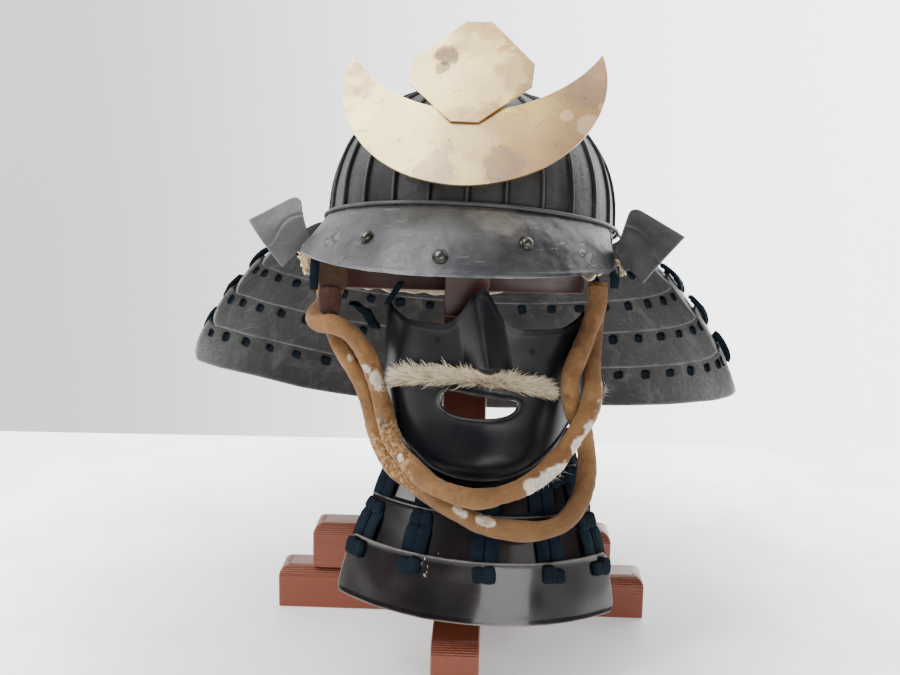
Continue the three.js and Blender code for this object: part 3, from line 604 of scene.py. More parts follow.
def plate(name, bm, behind, material, slot, nodes, wall, edge=0.0004, offset=-1):
    """Turns the faces of a sheet away from a point behind it, makes it a piece and gives it its wall."""
    bmesh.ops.recalc_face_normals(bm, faces=bm.faces)
    votes = 0
    for face in bm.faces:
        votes += (face.calc_center_median() - behind).dot(face.normal) * face.calc_area()
    if votes < 0:
        bmesh.ops.reverse_faces(bm, faces=bm.faces)
    return thicken(finished(name, bm, material, slot, nodes), wall, edge, offset)


def wear(bm, amount):
    """Writes how worn each vertex of a mesh is, from its place."""
    worn = bm.verts.layers.float.new("rim")
    for vert in bm.verts:
        vert[worn] = amount(vert.co)


def jitter(chance, reach):
    """A random step with each of its parts between -reach and reach."""
    return Vector([chance.uniform(-1, 1) for _ in range(3)]) * reach


def scatter(chance):
    """A random step with normally spread parts."""
    return Vector([chance.gauss(0, 1) for _ in range(3)])


def oval(angle, half_width, half_length, z):
    turn = angle * DEGREE
    return Vector((half_width * math.sin(turn), -half_length * math.cos(turn), z))


def mix(a, b, share):
    return a + (b - a) * share


def edge_wear(distance, reach):
    return max(0.0, 1 - distance / reach)


def normal_of(place, u, v, step=0.004):
    along = place(min(u + step, 1), v) - place(max(u - step, 0), v)
    down = place(u, min(v + step, 1)) - place(u, max(v - step, 0))
    return along.cross(down).normalized()


def turned(profile, steps=48):
    """A profile of (radius, height) spun round the Z axis."""
    bm = bmesh.new()
    line = [bm.verts.new((radius, 0, height)) for radius, height in profile]
    edges = [bm.edges.new(pair) for pair in zip(line, line[1:])]
    bmesh.ops.spin(
        bm, geom=line + edges, cent=(0, 0, 0), axis=(0, 0, 1), angle=2 * math.pi,
        steps=steps, use_merge=True,
    )
    bmesh.ops.remove_doubles(bm, verts=bm.verts, dist=1e-6)
    bmesh.ops.recalc_face_normals(bm, faces=bm.faces)
    return bm


def rounded(u, v, corner_u, corner_v):
    """Pulls the four corners of the unit square in to arcs."""
    a = (abs(2 * u - 1) - 1 + 2 * corner_u) / (2 * corner_u)
    b = (abs(2 * v - 1) - 1 + 2 * corner_v) / (2 * corner_v)
    if a <= 0 or b <= 0:
        return u, v
    shrink = max(a, b) / math.hypot(a, b)
    side_u = math.copysign(1 - 2 * corner_u + 2 * corner_u * a * shrink, 2 * u - 1)
    side_v = math.copysign(1 - 2 * corner_v + 2 * corner_v * b * shrink, 2 * v - 1)
    return (side_u + 1) / 2, (side_v + 1) / 2


# ---------- camera and light ----------
CAMERA = {
    "at": (0.0174, -0.8477, 0.3728),
    "turn": 1.99, "pitch": -10.88, "roll": 1.15,
    "lens": 46.64, "sensor": 36,
}
# name, place, aim, size, power, colour
LIGHTS = [
    ("key_light", (-1.1, -0.7, 1.3), (0, 0, 0.25), (1.1, 1.1), 27, (1, 0.995, 0.98)),
    ("window_light", (0.3, -1, 0.145), (0.03, -0.15, 0.1), (0.55, 0.28), 3, (1, 1, 1)),
    ("fill_light", (1.1, -1.3, 0.7), (0.02, -0.1, 0.2), (1.0, 0.7), 3.3, (1, 1, 1)),
    ("top_light", (-0.55, -0.25, 1.8), (0, 0, 0.2), (0.9, 1.1), 17, (1, 1, 1)),
]
SKY_COLOUR, SKY_STRENGTH = (0.96, 0.98, 1, 1), 0.17
# The floor's far edge, which the wall stands well behind.
FLOOR_EDGE = Matrix.Translation((-0.026, 0.461, 0)) @ Matrix.Rotation(2.2 * DEGREE, 4, "Z")
FLOOR_HALF_SIZE = (6, 5)
WALL_HALF_SIZE = (9, 4.4)


def add_camera():
    data = bpy.data.cameras.new("camera")
    data.sensor_width = CAMERA["sensor"]
    data.lens = CAMERA["lens"]
    camera = bpy.data.objects.new("camera", data)
    scene.collection.objects.link(camera)
    camera.matrix_world = (
        Matrix.Translation(CAMERA["at"])
        @ Matrix.Rotation(CAMERA["turn"] * DEGREE, 4, "Z")
        @ Matrix.Rotation((90 + CAMERA["pitch"]) * DEGREE, 4, "X")
        @ Matrix.Rotation(CAMERA["roll"] * DEGREE, 4, "Z")
    )
    scene.camera = camera


def add_softbox(name, at, aim, size, power, colour):
    data = bpy.data.lights.new(name, "AREA")
    data.shape = "RECTANGLE"
    data.size, data.size_y = size
    data.energy = power
    data.color = colour
    light = bpy.data.objects.new(name, data)
    light.location = at
    light.rotation_euler = (Vector(aim) - Vector(at)).to_track_quat("-Z", "Y").to_euler()
    scene.collection.objects.link(light)


def stage_plane(name, paint, half_size, seat):
    """A rectangle of the floor or the backdrop."""
    bm = bmesh.new()
    verts = bmesh.ops.create_grid(bm, x_segments=1, y_segments=1, size=1)["verts"]
    bmesh.ops.transform(bm, matrix=seat @ Matrix.Diagonal((*half_size, 1, 1)), verts=verts)
    board = linked(name, bm, paint.material)


def add_floor():
    """A white floor that glows behind and beside the helmet and ends some way behind it."""
    paint = Surface("pale_floor", specular=0.3)
    place = paint.place()
    smudge = paint.noise(place, 9, 5, 0.65)
    paint.set("Base Color", paint.over((0.93, 0.94, 0.94), (0.86, 0.875, 0.88), smudge, 0.35, 0.7))
    paint.set("Roughness", paint.between(smudge, 0.3, 0.7, 0.35, 0.5))
    away = paint.length({0: place}, "LENGTH")
    behind = paint.between(paint.axis(place, "Y"), -0.4, -0.1)
    beside = paint.between(paint.sums("ABSOLUTE", paint.axis(place, "X")), 0.8, 0.5)
    glow = paint.times(paint.between(away, 0.14, 0.5, 0.38, 2.9), paint.times(behind, beside))
    paint.set("Emission Color", (0.98, 1.0, 1.0))
    paint.set("Emission Strength", paint.times(glow, paint.between(smudge, 0.3, 0.7, 1, 0.8)))
    seat = FLOOR_EDGE @ Matrix.Translation((0, -FLOOR_HALF_SIZE[1], 0))
    stage_plane("floor", paint, FLOOR_HALF_SIZE, seat)


def add_wall():
    """A white wall that glows, brighter to the right, so far back that the helmet can be seen from behind.
    """
    paint = Surface("pale_wall", specular=0.1)
    place = paint.place()
    across = paint.axis(place, "X")
    paint.set("Base Color", (0.9, 0.91, 0.905))
    paint.set("Roughness", paint.between(paint.noise(place, 12, 3), 0.3, 0.7, 0.7, 0.85))
    glow = paint.between(across, -1.5, 1.3, 1.1, 4.2)
    # Glows more far out to the left, past the view, to light the helmet's left side.
    far_left_glow = paint.between(across, -1.8, -3, 0, 1.5)
    paint.set("Emission Color", (0.97, 0.985, 0.97))
    paint.set("Emission Strength", paint.plus(glow, far_left_glow))
    seat = Matrix.Translation((0, 3, 3)) @ Matrix.Rotation(90 * DEGREE, 4, "X")
    stage_plane("wall", paint, WALL_HALF_SIZE, seat)


def add_lights():
    world = bpy.data.worlds.new("studio")
    world.use_nodes = True
    sky = world.node_tree.nodes["Background"].inputs
    sky["Color"].default_value = SKY_COLOUR
    sky["Strength"].default_value = SKY_STRENGTH
    scene.world = world
    for row in LIGHTS:
        add_softbox(*row)


# ---------- chin cords ----------
def smooth_route(points, steps=14):
    """The centripetal curve through the points, finely stepped."""
    knots = [Vector(point) * MILLIMETRE for point in points]
    knots = [2 * knots[0] - knots[1], *knots, 2 * knots[-1] - knots[-2]]
    route = []
    for a, b, c, d in zip(knots, knots[1:], knots[2:], knots[3:]):
        t1 = (b - a).length ** 0.5
        t2 = t1 + (c - b).length ** 0.5
        t3 = t2 + (d - c).length ** 0.5
        for step in range(steps):
            t = mix(t1, t2, step / steps)
            ab = a.lerp(b, t / t1)
            bc = b.lerp(c, (t - t1) / (t2 - t1))
            cd = c.lerp(d, (t - t2) / (t3 - t2))
            abc = ab.lerp(bc, t / t2)
            bcd = bc.lerp(cd, (t - t1) / (t3 - t1))
            route.append(abc.lerp(bcd, (t - t1) / (t2 - t1)))
    route.append(knots[-2])
    return route


def heading(route, index):
    """The direction in which a route runs at one of its points."""
    return (route[min(index + 1, len(route) - 1)] - route[max(index - 1, 0)]).normalized()


def ring_frames(route):
    """Two directions across the cord at each point, carried along without twist."""
    across = Vector((1, 0, 0))
    frames = []
    for index in range(len(route)):
        ahead = heading(route, index)
        across = (across - ahead * across.dot(ahead)).normalized()
        frames.append((across, ahead.cross(across)))
    return frames


# Where the cloth is torn open: from one point to another, how wide, and how bare the wadding lies.
TEARS = {
    "inner": [
        ((-0.064, -0.092, 0.209), (-0.063, -0.093, 0.206), 0.0042, 0.8),
        ((-0.057, -0.097, 0.2), (-0.055, -0.099, 0.194), 0.0062, 0.9),
        ((-0.038, -0.121, 0.153), (-0.037, -0.123, 0.152), 0.0035, 0.7),
        ((0.065, -0.129, 0.151), (0.046, -0.142, 0.142), 0.0062, 1),
        ((0.087, -0.110, 0.190), (0.073, -0.124, 0.164), 0.0055, 1),
        ((0.092, -0.104, 0.200), (0.091, -0.105, 0.194), 0.0045, 0.9),
    ],
    "outer": [
        ((-0.076, -0.085, 0.212), (-0.075, -0.085, 0.21), 0.0028, 0.6),
        ((0.014, -0.149, 0.123), (0.020, -0.149, 0.121), 0.0042, 0.9),
        ((-0.001, -0.143, 0.127), (0.004, -0.144, 0.124), 0.0036, 0.6),
    ],
}


def bareness(point, tears):
    """How bare the wadding lies at a point of the cord, from 0 to 1."""
    ragged = 0.3 * noise.noise(point * 210) + 0.15 * noise.noise(point * 600)
    bare = 0.0
    for start, end, reach, depth in tears:
        start, end = Vector(start), Vector(end)
        share = max(0, min(1, (point - start).dot(end - start) / (end - start).length_squared))
        away = (point - start.lerp(end, share)).length / reach
        bare = max(bare, depth * min(1, 1.7 * (1.15 + ragged - away)))
    return bare


def chin_cord(name, points, tears):
    route = smooth_route(points)
    frames = ring_frames(route)
    rings = len(route) - 1
    length = sum((b - a).length for a, b in zip(route, route[1:]))
    radius = CORD_DIAMETER / 2

    def place(u, v):
        index = round(u * rings)
        across, up = frames[index]
        turn = 2 * math.pi * v
        out = across * math.cos(turn) + up * math.sin(turn)
        there = route[index] + out * radius
        swell = 0.09 * noise.noise(route[index] * 60) + 0.05 * math.sin(turn * 2 + u * 60)
        wound = turn - u * 30
        fold = Vector((u * 70, math.cos(wound) * 1.4, math.sin(wound) * 1.4))
        crease = -0.12 * max(0, noise.noise(fold))
        shred = bareness(there, tears) * (0.02 + 0.12 * noise.noise(there * 700))
        return route[index] + out * radius * (0.99 + swell + crease + shred)

    bm = sheet(rings, CORD_SIDES, place, (length, math.pi * CORD_DIAMETER), closed=True)
    bare = bm.verts.layers.float.new("bare")
    for vert in bm.verts:
        vert[bare] = bareness(vert.co, tears)
    bmesh.ops.holes_fill(bm, edges=[edge for edge in bm.edges if edge.is_boundary], sides=0)
    bmesh.ops.recalc_face_normals(bm, faces=bm.faces)
    cord = finished(name + "_cloth", bm, CLOTH, "ochre_cord", [name])
    tuple(route[0])
    [tuple(point) for point in route]


def wadding_tufts():
    """Short cotton fibres standing out of the widest tears."""
    chance = random.Random(7)
    strands = []
    for tears in TEARS.values():
        for start, end, reach, depth in tears:
            if depth < 0.8:
                continue
            for _ in range(WADDING_FIBRES):
                away = scatter(chance)
                away.y = -abs(away.y)
                away.normalize()
                root = Vector(start).lerp(Vector(end), chance.random()) + away * reach * 0.5
                bend = scatter(chance) * 0.0014
                strands.append((root, root + away * 0.0012 + bend * 0.5, root + away * 0.002 + bend))
    return strands


# ---------- helmet bowl ----------
def dome(angle, rise, proud):
    height = BOWL_HEIGHT + proud
    z = height * math.sin(rise * math.pi / 2)
    share = (1 - min(z / height, 1) ** BOWL_ROUNDNESS) ** (1 / BOWL_ROUNDNESS)
    return oval(angle, (BOWL_HALF_WIDTH + proud) * share, (BOWL_HALF_LENGTH + proud) * share, z)


# Stations across one plate, as shares of the pitch from the rib's middle, and the rib's height there.
RIB_STATIONS = [
    (-0.5, 0), (-0.38, 0.03), (-0.26, 0.05), (-0.15, 0.06), (-0.075, 0.08), (-0.055, 0.3),
    (-0.042, 0.9), (-0.025, 1), (0.012, 1), (0.028, 0.88), (0.036, -0.1), (0.06, -0.16),
    (0.085, -0.06), (0.15, 0), (0.3, 0), (0.4, 0),
]


def bowl_shell():
    """The ribbed plates as one shell; below its foot the sheet runs straight down to the bead."""
    count = RIB_COUNT * len(RIB_STATIONS)
    girth, climb_length = 0.69, 0.13
    foot, fading = 0.04, 0.86

    def station(u):
        index = round(u * count) % count
        rib, at = divmod(index, len(RIB_STATIONS))
        share, height = RIB_STATIONS[at]
        return (rib + 0.5 + share) * 360 / RIB_COUNT, height, rib

    def place(u, v):
        angle, height, rib = station(u)
        climb = max(0, v - foot) / (1 - foot)
        fade = 1 if v < fading else mix(1, 0.2, (v - fading) / (1 - fading))
        point = dome(angle, climb * BOWL_TOP_RISE, RIB_HEIGHT * height * fade)
        point.z -= FOOT_DEPTH * max(0, 1 - v / foot)
        wander = 0.0005 * noise.noise(point * 40) + 0.0004 * noise.noise(Vector((rib * 3.1, v * 4, 0)))
        return HELMET @ (point * (1 + wander / 0.1))

    def rim(u, v):
        return 0.16 * (station(u)[1] > 0.95)

    bm = sheet(count, 48, place, (girth, climb_length), rim, closed=True)
    # Painted shade: full in the groove after each rib, and about half on the rib's rising flank.
    groove_shade = bm.verts.layers.float.new("groove_shade")
    uv = bm.loops.layers.uv.active
    for face in bm.faces:
        for loop in face.loops:
            height = station(loop[uv].uv.x / girth)[1]
            dark = 1.0 if height < -0.05 else 0.45 * (0.07 < height < 0.5)
            loop.vert[groove_shade] = max(loop.vert[groove_shade], dark)
    plate("helmet_bowl", bm, HELMET @ Vector((0, 0, 0.01)), BOWL_IRON, "iron", PLATE_NODES, BOWL_WALL)


def crown_ring():
    """The ring of stacked washers round the hole at the top of the bowl, plugged inside."""
    z = dome(0, BOWL_TOP_RISE, 0).z
    r = CROWN_HOLE_RADIUS
    profile = [
        (0, z + 0.0022), (r + 0.008, z + 0.003), (r + 0.0085, z + 0.0038), (r + 0.006, z + 0.0046),
        (r + 0.002, z + 0.0050), (r - 0.001, z + 0.0062), (r - 0.003, z + 0.0063), (r - 0.0045, z + 0.0072),
        (r - 0.0075, z + 0.0074), (0.0068, z + 0.0071), (0.0055, z + 0.0058), (0.004, z + 0.004),
        (0, z + 0.0036),
    ]
    bm = turned(profile, 64)
    wear(bm, lambda co: 0.5 if co.z > z + 0.0062 else 0)
    bmesh.ops.transform(bm, matrix=HELMET, verts=bm.verts)
    soften(finished("crown_ring", bm, BOWL_IRON, "iron", ["bowl_crown_ring"]), 0.0003, 25)


def oval_band(half_width, half_length, top, hem_at, ragged=0.0):
    """The place function of a band round the rim, from its top down to hem_at(angle), frayed below."""
    def place(u, v):
        angle = u * 360
        s, c = math.sin(angle * DEGREE), math.cos(angle * DEGREE)
        fray = ragged * v * noise.noise(Vector((c * 7, s * 7, 0)))
        lean = ragged * 0.6 * noise.noise(Vector((s * 9, v * 2, c * 9)))
        height = mix(top, hem_at(angle) - fray, v)
        return HELMET @ oval(angle, half_width + lean, half_length + lean, height)

    return place


def base_band():
    proud = 0.0006
    half_sizes = BOWL_HALF_WIDTH + proud, BOWL_HALF_LENGTH + proud
    place = oval_band(*half_sizes, -GAP, lambda angle: -BASE_BAND_HEIGHT)
    bm = sheet(180, 6, place, (0.7, BASE_BAND_HEIGHT), closed=True)
    nodes = ["bowl_base_band"]
    plate("base_band", bm, HELMET.translation, BOWL_IRON, "iron", nodes, BOWL_WALL + proud)


def rim_bead():
    """The rolled bead where the bowl meets the brow plate and the neck guard."""
    half_width, half_length, middle = 0.1046, 0.1222, -0.0024

    def place(u, v):
        turn = 2 * math.pi * v
        out, up = 0.0015 * math.cos(turn), 0.0014 * math.sin(turn)
        return HELMET @ oval(u * 360, half_width + out, half_length + out, middle + up)

    bm = sheet(180, 10, place, (0.7, 0.01), lambda u, v: 0.3, closed=True)
    bmesh.ops.recalc_face_normals(bm, faces=bm.faces)
    finished("rim_bead", bm, BOWL_IRON, "iron")


def lining():
    """The ragged band inside the rim, deepest at the back and shorter on the right."""
    def hem(angle):
        right = math.sin(angle * DEGREE)
        lift = 0.012 * min(1, 2 * right) if right > 0 else 0.005 * right
        return -0.036 - 0.008 * (1 - math.cos(angle * DEGREE)) / 2 + lift

    place = oval_band(0.098, 0.112, -0.0126, hem, ragged=0.0045)
    bm = sheet(260, 10, place, (0.66, 0.03), lambda u, v: edge_wear(1 - v, 0.25), closed=True)
    nodes = ["lining_band"]
    plate("lining_cloth", bm, HELMET.translation, LINING, "lining", nodes, LINING_WALL, 0.0006, 0)


def loose_cloth(name, corners, ragged):
    """A crumpled scrap of lining between four corners, its outline torn."""
    a, b, c, d = [Vector(corner) for corner in corners]

    def place(u, v):
        fray = ragged * noise.noise(Vector((u * 5, v * 5, 2)))
        point = a.lerp(b, u).lerp(d.lerp(c, u), v)
        fold = 0.0018 * math.sin(6 * u + 3 * v) + 0.0015 * noise.noise(Vector((u * 4, v * 3, 9)))
        return point + Vector((fray * (2 * u - 1), fold, fray * (1 - 2 * v)))

    bm = sheet(24, 20, place, (0.02, 0.02), lambda u, v: edge_wear(min(u, v, 1 - u, 1 - v), 0.2))
    scrap = plate(name, bm, Vector((0, 0.2, 0.25)), LINING, "lining", (), 0.001, 0.0002)
    scrap.modifiers["wall"].use_even_offset = False


# ---------- brow plate ----------
def brow(u, v):
    """The plate from its rim on the bowl at v 0 to its free edge at v 1, in the helmet's own frame."""
    side = 2 * u - 1
    reach = BROW_EDGE["half_length"] - BROW_TOP["half_length"]
    from_end = (1 - abs(side)) * BROW_EDGE["end"] * DEGREE * BROW_EDGE["half_width"]
    short = max(0, BROW_CORNER - from_end) / BROW_CORNER
    cut = 1 - (BROW_CORNER / (reach * 1.7)) * (1 - math.sqrt(1 - short * short))
    t = v * cut
    top = oval(side * BROW_TOP["end"], BROW_TOP["half_width"], BROW_TOP["half_length"], BROW_TOP["z"])
    rise = BROW_RISE["left" if side < 0 else "right"] * side * side
    half_sizes = BROW_EDGE["half_width"], BROW_EDGE["half_length"]
    edge = oval(side * BROW_EDGE["end"], *half_sizes, BROW_EDGE["z"] + rise)
    bow = 0.003 * math.sin(math.pi * t) * (1 - side * side)
    out = (edge - top) * Vector((1, 1, 0))
    return top.lerp(edge, t) + out.normalized() * bow + Vector((0, 0, bow * 0.7))


def brow_plate():
    worn_strip = 0.0022

    def place(u, v):
        point = brow(u, v)
        hammered = 0.0005 * noise.noise(point * 55) + 0.00025 * noise.noise(point * 160)
        lip = 0.0007 * edge_wear(abs(v - 0.965), 0.03)
        return HELMET @ (point + normal_of(brow, u, v) * (hammered - lip))

    def rim(u, v):
        from_end, from_hem = min(u, 1 - u) * 0.24, (1 - v) * 0.055
        return max(edge_wear(from_hem, worn_strip), edge_wear(from_end, worn_strip))

    bm = sheet(200, 48, place, (0.25, 0.055), rim)
    behind = HELMET @ Vector((0, 0.05, -0.05))
    plate("brow_plate_iron", bm, behind, BROW_IRON, "brow_iron", ["brow_plate"], BROW_WALL, 0.0006)


def brow_rivets():
    """Three domed heads, each on a thin washer."""
    r, washer = RIVET_RADIUS, RIVET_RADIUS + 0.0008
    profile = [(0, 0.0002), (washer, 0.0002), (washer, 0.0005), (r + 0.0001, 0.0007)]
    for turn in range(10, 91, 10):
        profile.append((r * math.cos(turn * DEGREE), 0.0007 + r * 0.8 * math.sin(turn * DEGREE)))
    for side, (u, v) in RIVETS.items():
        outwards = normal_of(brow, u, v)
        if outwards.y > 0:
            outwards = -outwards
        aim = outwards.to_track_quat("Z", "Y").to_matrix().to_4x4()
        bm = turned(profile, 28)
        wear(bm, lambda co: 0.7 * max(0, co.z / r - 0.4))
        seat = HELMET @ Matrix.Translation(brow(u, v) + outwards * GAP)
        bmesh.ops.transform(bm, matrix=seat @ aim, verts=bm.verts)
        finished("brow_rivet_dome_" + side, bm, RIVET_IRON, "iron", ["brow_rivet_" + side])


# ---------- crest ----------
def crest_plate(name, bm, node):
    plate(name, bm, CREST @ Vector((0, 1, 0)), BRASS, "brass", [node], CREST_SHEET, 0.0003)


def crescent():
    """A flat sheet between two arcs that meet at its horns."""
    inner_centre = CRESCENT_DEPTH - CRESCENT_OUTER_RADIUS + CRESCENT_INNER_RADIUS
    tip_z = (CRESCENT_OUTER_RADIUS**2 - CRESCENT_INNER_RADIUS**2 + inner_centre**2) / (2 * inner_centre)
    tip_x = math.sqrt(CRESCENT_OUTER_RADIUS**2 - tip_z**2)
    outer_tip = math.atan2(tip_z, tip_x)
    inner_tip = math.atan2(tip_z - inner_centre, tip_x)
    lean = Matrix.Rotation(-0.8 * DEGREE, 3, "Y")

    def place(u, v):
        outer_turn = mix(math.pi - outer_tip, 2 * math.pi + outer_tip, u)
        inner_turn = mix(math.pi - inner_tip, 2 * math.pi + inner_tip, u)
        outer = Vector((math.cos(outer_turn), 0, math.sin(outer_turn))) * CRESCENT_OUTER_RADIUS
        inner = Vector((math.cos(inner_turn), 0, math.sin(inner_turn))) * CRESCENT_INNER_RADIUS
        point = outer.lerp(inner + Vector((0, 0, inner_centre)), v)
        point.z *= CRESCENT_FLATTEN
        point.y = 0.0004 * noise.noise(point * 30)
        return CREST @ (lean @ point + Vector((0.001, 0, -0.0055)))

    bm = sheet(160, 20, place, (0.3, 0.06), closed=True)
    crest_plate("crescent_sheet", bm, "crest_crescent")


def diamond():
    """A square sheet on its corner, with the corners cut and the side corners set low."""
    bm = bmesh.new()
    bmesh.ops.create_circle(bm, cap_ends=True, segments=4, radius=DIAMOND_HALF)
    reach = DIAMOND_CUT * math.sqrt(2)
    bmesh.ops.bevel(
        bm, geom=bm.verts[:], offset=reach, affect="VERTICES", segments=1, profile=0.5, material=-1,
        clamp_overlap=True,
    )
    stretch = DIAMOND_HALF / max(vert.co.x for vert in bm.verts)
    for vert in bm.verts:
        side_drop = 0.0035 * abs(vert.co.x) / DIAMOND_HALF
        vert.co = Vector((vert.co.x * stretch, -CREST_SHEET - GAP * 1.2, vert.co.y * stretch - side_drop))
    bmesh.ops.inset_region(bm, faces=bm.faces[:], thickness=0.002, use_even_offset=True)
    lean = Matrix.Rotation(1.2 * DEGREE, 4, "Y")
    seat = CREST @ Matrix.Translation((-0.0006, 0, 0.004))
    bmesh.ops.transform(bm, matrix=seat @ lean, verts=bm.verts)
    crest_plate("diamond_sheet", bm, "crest_diamond")


# ---------- neck guard ----------
def neck(u, v, out=0.0):
    """The guard's surface: u round the back between the front ends, v from the rim down to the hem."""
    first_hem = 1 / NECK_LAMES
    if v < first_hem:
        start = mix(NECK_FRONT["rim"], NECK_FRONT["first"], v / first_hem)
    else:
        start = mix(NECK_FRONT["first"], NECK_FRONT["hem"], (v - first_hem) / (1 - first_hem))
    angle = mix(start, 360 - start, u)
    rim_slope, hem_slope = NECK_SLOPES
    slope = mix(rim_slope, hem_slope, v)
    spread = (math.sin(slope) - math.sin(rim_slope)) / (math.sin(hem_slope) - math.sin(rim_slope))
    fall = (math.cos(rim_slope) - math.cos(slope)) / (math.cos(rim_slope) - math.cos(hem_slope))
    sag = NECK_SAG["depth"] * math.exp(-(((angle - NECK_SAG["angle"]) / NECK_SAG["reach"]) ** 4))
    hem_z = NECK_HEM["z"] - NECK_HEM["back_drop"] * max(0, -math.cos(angle * DEGREE)) - sag
    proud = out * math.sin(slope)
    point = oval(
        angle,
        mix(NECK_RIM["half_width"], NECK_HEM["half_width"], spread) + proud,
        mix(NECK_RIM["half_length"], NECK_HEM["half_length"], spread) + proud,
        mix(NECK_RIM["z"], hem_z, fall) + out * math.cos(slope),
    )
    point.x += NECK_SHIFT * spread
    return point


def lame_span(index):
    return max(0, index / NECK_LAMES - (NECK_OVERLAP if index else 0)), (index + 1) / NECK_LAMES


def neck_lame(index):
    low, high = lame_span(index)
    out = index * NECK_STEP
    worn_strip = 0.0013

    def place(u, v):
        u, v = rounded(u, v, 0.032, 0.48)
        point = neck(u, mix(low, high, v), out)
        return HELMET @ (point * (1 + 0.0035 * noise.noise(point * 28 + Vector((index, 0, 0)))))

    def rim(u, v):
        from_end, from_hem = min(u, 1 - u) * (0.36 + 0.06 * index), (1 - v) * 0.025
        return 0.9 * max(edge_wear(from_hem, worn_strip), edge_wear(from_end, worn_strip))

    bm = sheet(220, 20, place, (0.45, 0.025), rim)
    name, node = f"neck_lame_iron_{index + 1}", f"neck_lame_{index + 1}"
    behind = HELMET @ Vector((0, 0, -0.15))
    plate(name, bm, behind, NECK_IRON, "iron", [node], NECK_WALL, 0.0005)


def ribbon(bm, route, across, width, thick):
    """A flat braid laid along a short route of points, its edges rounded, added to bm."""
    upper, lower = [(-0.42, 0.5), (0, 0.62), (0.42, 0.5)], [(0.42, -0.5), (0, -0.5), (-0.42, -0.5)]
    ring = [(-0.5, 0), *upper, (0.5, 0), *lower]
    loops = []
    for index, point in enumerate(route):
        up = across.cross(heading(route, index)).normalized()
        taper = 0.86 if index in (0, len(route) - 1) else 1
        wide, high = across * width * taper, up * thick * taper
        loops.append([bm.verts.new(point + wide * x + high * y) for x, y in ring])
    edges = [[bm.edges.new(pair) for pair in zip(loop, loop[1:] + loop[:1])] for loop in loops]
    for first, second in zip(edges, edges[1:]):
        bmesh.ops.bridge_loops(bm, edges=first + second)
    for end in (edges[0], edges[-1]):
        bmesh.ops.edgeloop_fill(bm, edges=end)


def knot(bm, place, size):
    """A soft flattened knot of braid, added to bm."""
    made = bmesh.ops.create_icosphere(bm, subdivisions=3, radius=1)["verts"]
    for vert in made:
        square = max(abs(vert.co.x), abs(vert.co.y), 0.3)
        plump = mix(1, 0.82 / square, 0.6)
        fold = 1 - 0.25 * math.exp(-((vert.co.x / 0.16) ** 2))
        vert.co = vert.co * Vector((size[0] * plump, size[1] * plump, size[2] * fold))
    bmesh.ops.transform(bm, matrix=place, verts=made)


def neck_lacing(index):
    """Paired braids outside, from this lame up over the one above, and their knots inside."""
    low, high = lame_span(index)
    chance = random.Random(40 + index)
    bm = bmesh.new()
    for column in range(NECK_BRAIDS):
        u = mix(0.03, 0.97, column / (NECK_BRAIDS - 1))

        def on(v, proud, u=u):
            return HELMET @ neck(u, v, index * NECK_STEP + proud)

        ends = [HELMET @ neck(at, low) for at in (max(u - 0.002, 0), min(u + 0.002, 1))]
        across = (ends[1] - ends[0]).normalized()
        for side in (-0.0034, 0.0034):
            shift = jitter(chance, 0.0005)
            route = []
            for step, proud in NECK_BRAID_ARCH:
                lifted = proud + chance.uniform(0, 0.0005)
                route.append(on(low + step, lifted) + across * side + shift)
            ribbon(bm, route, across, 0.0062, 0.0026)
        down = (on(low + 0.03, 0) - on(low, 0)).normalized()
        inwards = across.cross(down).normalized()
        if inwards.dot(HELMET.translation - on(low, 0)) < 0:
            inwards = -inwards
        spot = on(low + NECK_OVERLAP + 0.042, -NECK_WALL) + inwards * 0.0006
        turn = Matrix((across, down, inwards)).transposed().to_4x4()
        tilt = Matrix.Rotation(chance.uniform(-0.3, 0.3), 4, "Z")
        wide, high = [size * chance.uniform(0.85, 1.15) for size in (0.0046, 0.0042)]
        knot(bm, Matrix.Translation(spot) @ turn @ tilt, (wide, high, 0.0016))
    bmesh.ops.recalc_face_normals(bm, faces=bm.faces)
    finished(f"neck_lacing_{index}", bm, BRAID, "lacing")


# ---------- wings ----------
def wing(side, name):
    """A turned-back flap, its outer end rounded at the corner beside the bowl."""
    base_inner = Vector((side * 0.105, -0.054, -0.022))
    base_outer = Vector((side * 0.124, -0.054, -0.042))
    end_inner = Vector((side * 0.114, -0.057, 0.010))
    end_outer = Vector((side * 0.150, -0.057, -0.010))

    def flat(u, v):
        point = base_inner.lerp(base_outer, u).lerp(end_inner.lerp(end_outer, u), v)
        point.y -= WING_CURL * math.sin(math.pi * v)
        return point

    def place(u, v):
        soft_u, soft_v = rounded(u, v, 0.2, 0.2)
        if u < 0.5 and v > 0.5:
            u, v = soft_u, soft_v
        point = flat(u, v)
        crease = 0.0007 * math.exp(-(((v - 0.52 - 0.1 * math.sin(u * 5)) / 0.03) ** 2))
        return HELMET @ (point + Vector((0, crease + 0.0008 * noise.noise(point * 60), 0)))

    def rim(u, v):
        return max(edge_wear(1 - v, 0.035), edge_wear(min(u, 1 - u), 0.035))

    bm = sheet(48, 48, place, (0.045, 0.05), rim)
    behind = HELMET @ Vector((0, 1, 0))
    plate(f"wing_iron_{name}", bm, behind, WING_IRON, "iron", [f"wing_{name}"], WING_WALL)


